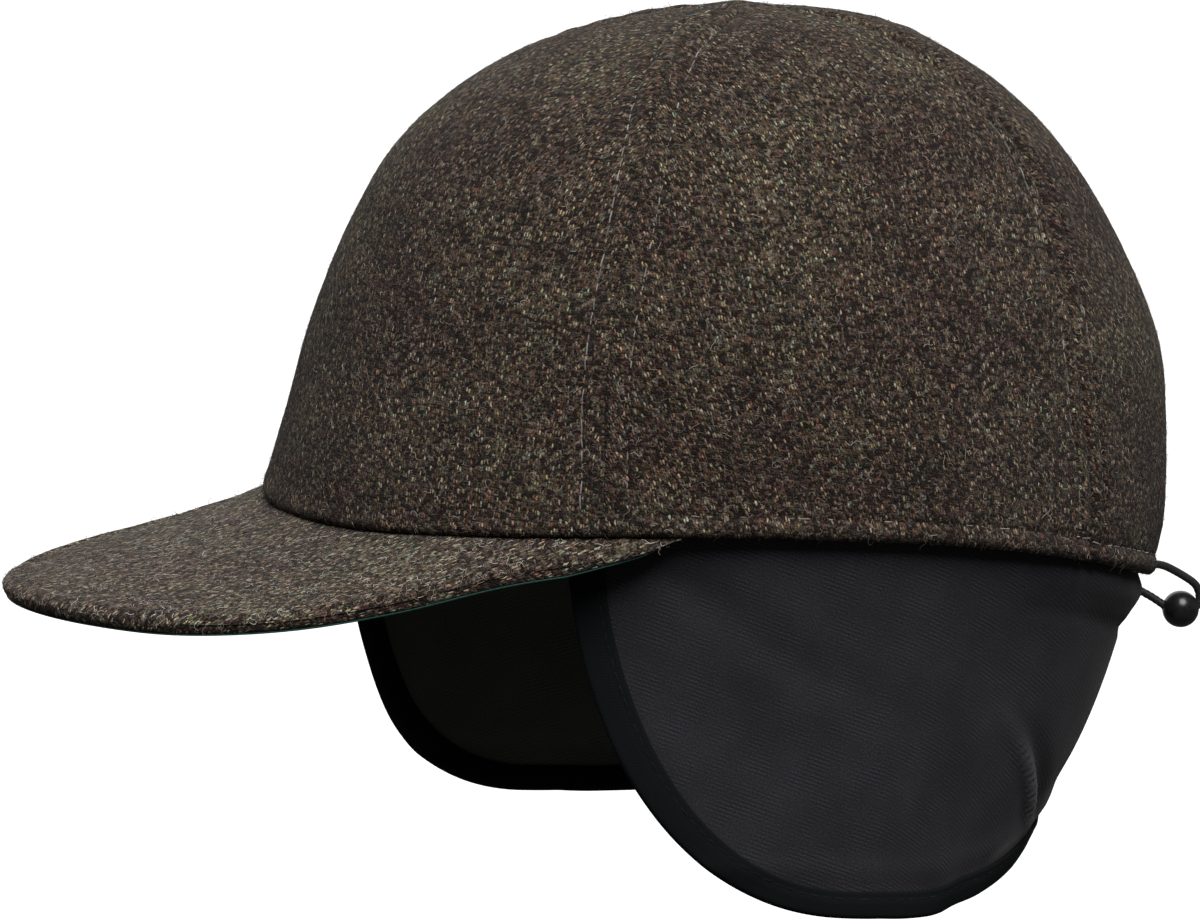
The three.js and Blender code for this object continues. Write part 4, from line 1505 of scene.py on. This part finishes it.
def makeSoftshell(name, tones):
    # stretch cloth with a fine diagonal rib
    material, tree, shader = newMaterial(name, Roughness=0.85, Sheen_Weight=0.04, Sheen_Roughness=0.4,
                                         Specular_IOR_Level=0.12)
    place = clothPlace(tree)
    loose = noiseOf(tree, place, 0.5, 2.0, output=1)
    moved = vectorCalc(tree, "MULTIPLY_ADD", loose, (0.25, 0.25, 0.0), place)
    parts = put(tree, "ShaderNodeSeparateXYZ", Vector=moved).outputs
    slanted = plus(tree, parts[1], times(tree, parts[0], softshell["ribSlant"]))
    rib = calc(tree, "SINE", times(tree, slanted, 2 * math.pi / softshell["ribPitch"]))
    crosswise = minus(tree, parts[0], times(tree, parts[1], 0.6))
    dash = calc(tree, "SINE", times(tree, crosswise, 2 * math.pi / softshell["dashPitch"]))
    height = plus(tree, times(tree, rib, 0.5), times(tree, times(tree, dash, rib), 0.25))
    fine = noiseOf(tree, place, 2.6, 3.0, 0.7)
    cloud = noiseOf(tree, place, 0.05, 3.0, 0.6)
    shown = span(tree, noiseOf(tree, place, 0.16, 3.0, 0.7), 0.42, 0.62, 0.05, 0.9)
    ribs = times(tree, height, shown)
    mixed = plus(tree, times(tree, ribs, 0.30), times(tree, fine, 0.95))
    mixed = plus(tree, mixed, times(tree, minus(tree, cloud, 0.5), 0.35))
    colour = ramp(tree, mixed, tones)
    # painted highlight: the colour is lightened towards a pale grey along the band's creases
    paintedHighlight = put(tree, "ShaderNodeAttribute", {"attribute_name": "paintedHighlight"}).outputs["Fac"]
    highlightShare = times(tree, paintedHighlight, plus(tree, fine, 0.3), clamp=True)
    colour = blendColours(tree, times(tree, highlightShare, softshell["highlightShare"]), colour,
                          softshell["highlightColour"])
    paint(tree, shader, colour, plus(tree, times(tree, ribs, 0.45), fine), 0.6, 0.12 * mm)
    return material


softshellFace = makeSoftshell("softshellFace", [
    (0.15, (0.006, 0.006, 0.007)),
    (0.45, (0.0135, 0.0135, 0.016)),
    (0.80, (0.036, 0.036, 0.042)),
])
# the inside's tones are much lighter than the face's: painted light on the inside, which lies in shade
softshellBack = makeSoftshell("softshellBack", [(0.2, (0.036, 0.036, 0.032)), (0.8, (0.095, 0.095, 0.086))])


def makeEarBand():
    columns = 260
    whole = np.linspace(0, 2, columns)
    share, isLeft = bothSides(whole)
    edgeAngle, edgeDrop = bandEdge(share)
    topAngle = band["frontAngle"] + (180 - band["frontAngle"]) * share ** 1.4
    rows = np.concatenate([np.linspace(0, 0.12, 6), np.linspace(0.12, 0.94, 52)[1:],
                           [0.96, 0.975, 0.99, 1.0]])
    outer, inner, uvs, paintedHighlights = [], [], [], []
    for row in rows:
        angle = topAngle + (edgeAngle - topAngle) * row
        drop = -band["tuck"] + (edgeDrop + band["tuck"]) * row
        sided = np.where(isLeft, angle, 360 - angle)
        point, normal, _, _ = bandPoint(sided, drop)
        outer.append(point)
        inner.append(point - normal * band["cloth"])
        uvs.append(np.stack([sided * 1.5 * mm, 0.1 - drop * mm], -1))
        # painted highlight along the creases, carried on the mesh for its material
        paintedHighlights.append(paintedBandHighlight(sided, drop))
    piece = clothBody("earBand", np.array(outer), np.array(inner), np.array(uvs),
                      [softshellFace, softshellBack])
    paintedHighlights = np.array(paintedHighlights).ravel()
    addValue(piece, "paintedHighlight", np.concatenate([paintedHighlights, np.zeros(len(piece.data.vertices) - len(paintedHighlights))]))
    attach(piece, "root")
    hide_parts("ear_band")
    return piece


def makeTape():
    # elastic tape with fine cross ribs
    material, tree, shader = newMaterial("bindingTape", Roughness=0.9, Specular_IOR_Level=0.08)
    place = clothPlace(tree)
    parts = put(tree, "ShaderNodeSeparateXYZ", Vector=place).outputs
    rib = calc(tree, "SINE", times(tree, parts[0], 2 * math.pi / 0.7))
    fine = noiseOf(tree, place, 3.0, 3.0, 0.7)
    mixed = plus(tree, times(tree, rib, 0.06), fine)
    colour = ramp(tree, mixed, [(0.2, (0.0022, 0.0027, 0.0030)), (0.8, (0.0054, 0.0065, 0.0070))])
    paint(tree, shader, colour, plus(tree, times(tree, rib, 0.2), fine), 0.4, 0.06 * mm)
    return material


def bindingFrame(whole):
    # along the band's edge: its place, normal and the direction in from the edge over the cloth
    share, isLeft = bothSides(whole)
    edgeAngle, edgeDrop = bandEdge(share)
    sided = np.where(isLeft, edgeAngle, 360 - edgeAngle)
    point, normal, alongA, alongB = surfaceFrame(bandSurface, sided, edgeDrop)
    heading = unit(np.gradient(point, axis=0))
    inward = unit(np.cross(normal, heading))
    up = inward[:, 2:3] < 0
    inward = np.where(up & (np.abs(inward[:, 2:3]) > 0.3), -inward, inward)
    return sided, edgeDrop, alongA, alongB, inward


def bindingLine(whole, inFrom, depth):
    # a line beside the band's edge: how far in from it, and how deep under the cloth's face
    angle, drop, alongA, alongB, inward = bindingFrame(whole)
    aa = (alongA * alongA).sum(-1)
    ab = (alongA * alongB).sum(-1)
    bb = (alongB * alongB).sum(-1)
    inFrom = np.broadcast_to(inFrom, angle.shape)
    onA = (alongA * inward).sum(-1) * inFrom
    onB = (alongB * inward).sum(-1) * inFrom
    scale = 1 / (aa * bb - ab * ab)
    newAngle = angle + (onA * bb - onB * ab) * scale
    newDrop = drop + (onB * aa - onA * ab) * scale
    point, normal, _, _ = bandPoint(newAngle, newDrop)
    return point - normal * depth, normal


tapeStitch = {
    "pitch": 3.0 * mm,
    "length": 2.4 * mm,
    "thread": 0.32 * mm,
    "arch": 0.14 * mm,
    "sink": 0.08 * mm,
    "unevenness": 0.06,
}


def makeBinding():
    columns = 420
    whole = np.linspace(0.012, 1.988, columns)
    out = band["gap"] * 0.4
    cloth = band["bindingCloth"]
    deep = band["cloth"] + out
    fromFront = softStep(0.12, 0.42, np.minimum(whole, 2 - whole))
    width = band["bindingFront"] + (band["bindingLow"] - band["bindingFront"]) * fromFront
    soft = 0.22 * mm
    middle = band["cloth"] / 2
    reach = middle + out + cloth
    turn = np.linspace(math.pi / 2, -math.pi / 2, 9)
    # the tape's outer side: over the face, round the edge and up the back
    face = -out - cloth
    outside = [(width, -out), (width + 0.05 * mm, -out - cloth * 0.7), (width - 0.5 * mm, face),
               (width - 1.6 * mm, face + soft), (width * 0.62, face), (width * 0.4, face),
               (width * 0.2, face), (0.8 * mm, face)]
    for angle in turn:
        outside.append((-reach * math.cos(angle) * 0.75, middle - reach * math.sin(angle)))
    outside += [(width * 0.2, deep + cloth), (width * 0.5, deep + cloth), (width - 0.5 * mm, deep + cloth),
                (width, deep + cloth * 0.6), (width, deep)]
    outer, inner, uvs = [], [], []
    walked = 0.0
    for k, (inFrom, depth) in enumerate(outside):
        line, _ = bindingLine(whole, inFrom, depth)
        outer.append(line)
        if k:
            walked += float(np.median(np.linalg.norm(outer[-1] - outer[-2], axis=1)))
        along = lengthsAlong(line)
        uvs.append(np.stack([along, np.full(columns, walked)], -1))
        flat = np.clip(inFrom, 0.0, None)
        side = np.clip(depth, -out, deep)
        inner.append(bindingLine(whole, np.broadcast_to(flat, whole.shape) * 0.97, side)[0])
    piece = clothBody("bandBinding", np.array(outer), np.array(inner), np.array(uvs), [makeTape()])
    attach(piece, "root")
    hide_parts("band_binding")
    rows = [bindingLine(whole, width - 1.6 * mm, face + soft)]
    sew("bindingStitches", rows, tapeStitch, bandThread, "binding_tape", 9)
    return piece


holeStitch = {
    "length": 1.3 * mm,
    "thread": 0.34 * mm,
    "arch": 0.22 * mm,
    "sink": 0.05 * mm,
    "unevenness": 0.05,
}


def makeButtonholes():
    # a worked buttonhole where each end of the cord leaves the casing
    seats, headings, ups = [], [], []
    for side in (-1, 1):
        angle = 180 - side * math.degrees(math.atan2(7, 99.5))
        centre, normal, _, _ = bandPoint(np.array([angle]), np.array([3.0]))
        across = unit(np.cross(normal[0], [0, 0, 1.0]))
        up = np.cross(across, normal[0])
        for turn in np.linspace(0, 2 * math.pi, 36, endpoint=False):
            out = across * math.cos(turn) * 1.2 + up * math.sin(turn)
            seats.append(centre[0] + out * 1.75 * mm + normal[0] * 0.05 * mm)
            headings.append(unit(out))
            ups.append(normal[0])
    return sewAt("buttonholes", seats, headings, ups, holeStitch, crownThread, "softshell", 31)


earBand = makeEarBand()
binding = makeBinding()
makeButtonholes()
areaOfMesh = sum(face.area for face in earBand.data.polygons) / 2
print("ear band made, cloth area", round(areaOfMesh, 4))

studio = {
    "floor": -0.30,
    "roomLight": 0.11,
    "lamps": [
        {"name": "softbox", "energy": 4.7, "spread": 38, "azimuth": 79, "elevation": 54},
        {"name": "fill", "energy": 1.5, "spread": 70, "azimuth": 252, "elevation": 14},
    ],
}


def makeStudio():
    material, tree, shader = newMaterial("paleFloor", Roughness=0.9, Specular_IOR_Level=0.1)
    place = put(tree, "ShaderNodeTexCoord").outputs["Object"]
    faint = noiseOf(tree, place, 3.0, 2.0)
    feed(tree, shader.inputs["Base Color"],
         ramp(tree, faint, [(0.0, (0.86, 0.86, 0.86)), (1.0, (0.90, 0.90, 0.90))]))
    size = 30.0
    z = studio["floor"]
    corners = [(-size, -size, z), (size, -size, z), (size, size, z), (-size, size, z)]
    floor = newObject("studioFloor", corners, [(0, 1, 2, 3)], [material], smooth=False)
    floor.visible_diffuse = False  # the floor stays white without lighting the cap from below
    floor.visible_glossy = False
    world = bpy.data.worlds.new("softWhite")
    world.use_nodes = True
    back = world.node_tree.nodes["Background"]
    back.inputs[0].default_value = (1, 1, 1, 1)
    back.inputs[1].default_value = studio["roomLight"]
    bpy.context.scene.world = world
    # a broad softbox high on the wearer's left, and a weak low fill on the other side
    for lamp in studio["lamps"]:
        data = bpy.data.lights.new(lamp["name"], "SUN")
        data.energy = lamp["energy"]
        data.angle = math.radians(lamp["spread"])
        piece = bpy.data.objects.new(lamp["name"], data)
        rise = math.pi / 2 - math.radians(lamp["elevation"])
        piece.rotation_euler = (rise, 0, math.radians(lamp["azimuth"]))
        bpy.context.collection.objects.link(piece)


makeStudio()
print("studio lit")
bpy.context.scene.view_settings.view_transform = "Standard"
bpy.context.scene.view_settings.look = "None"
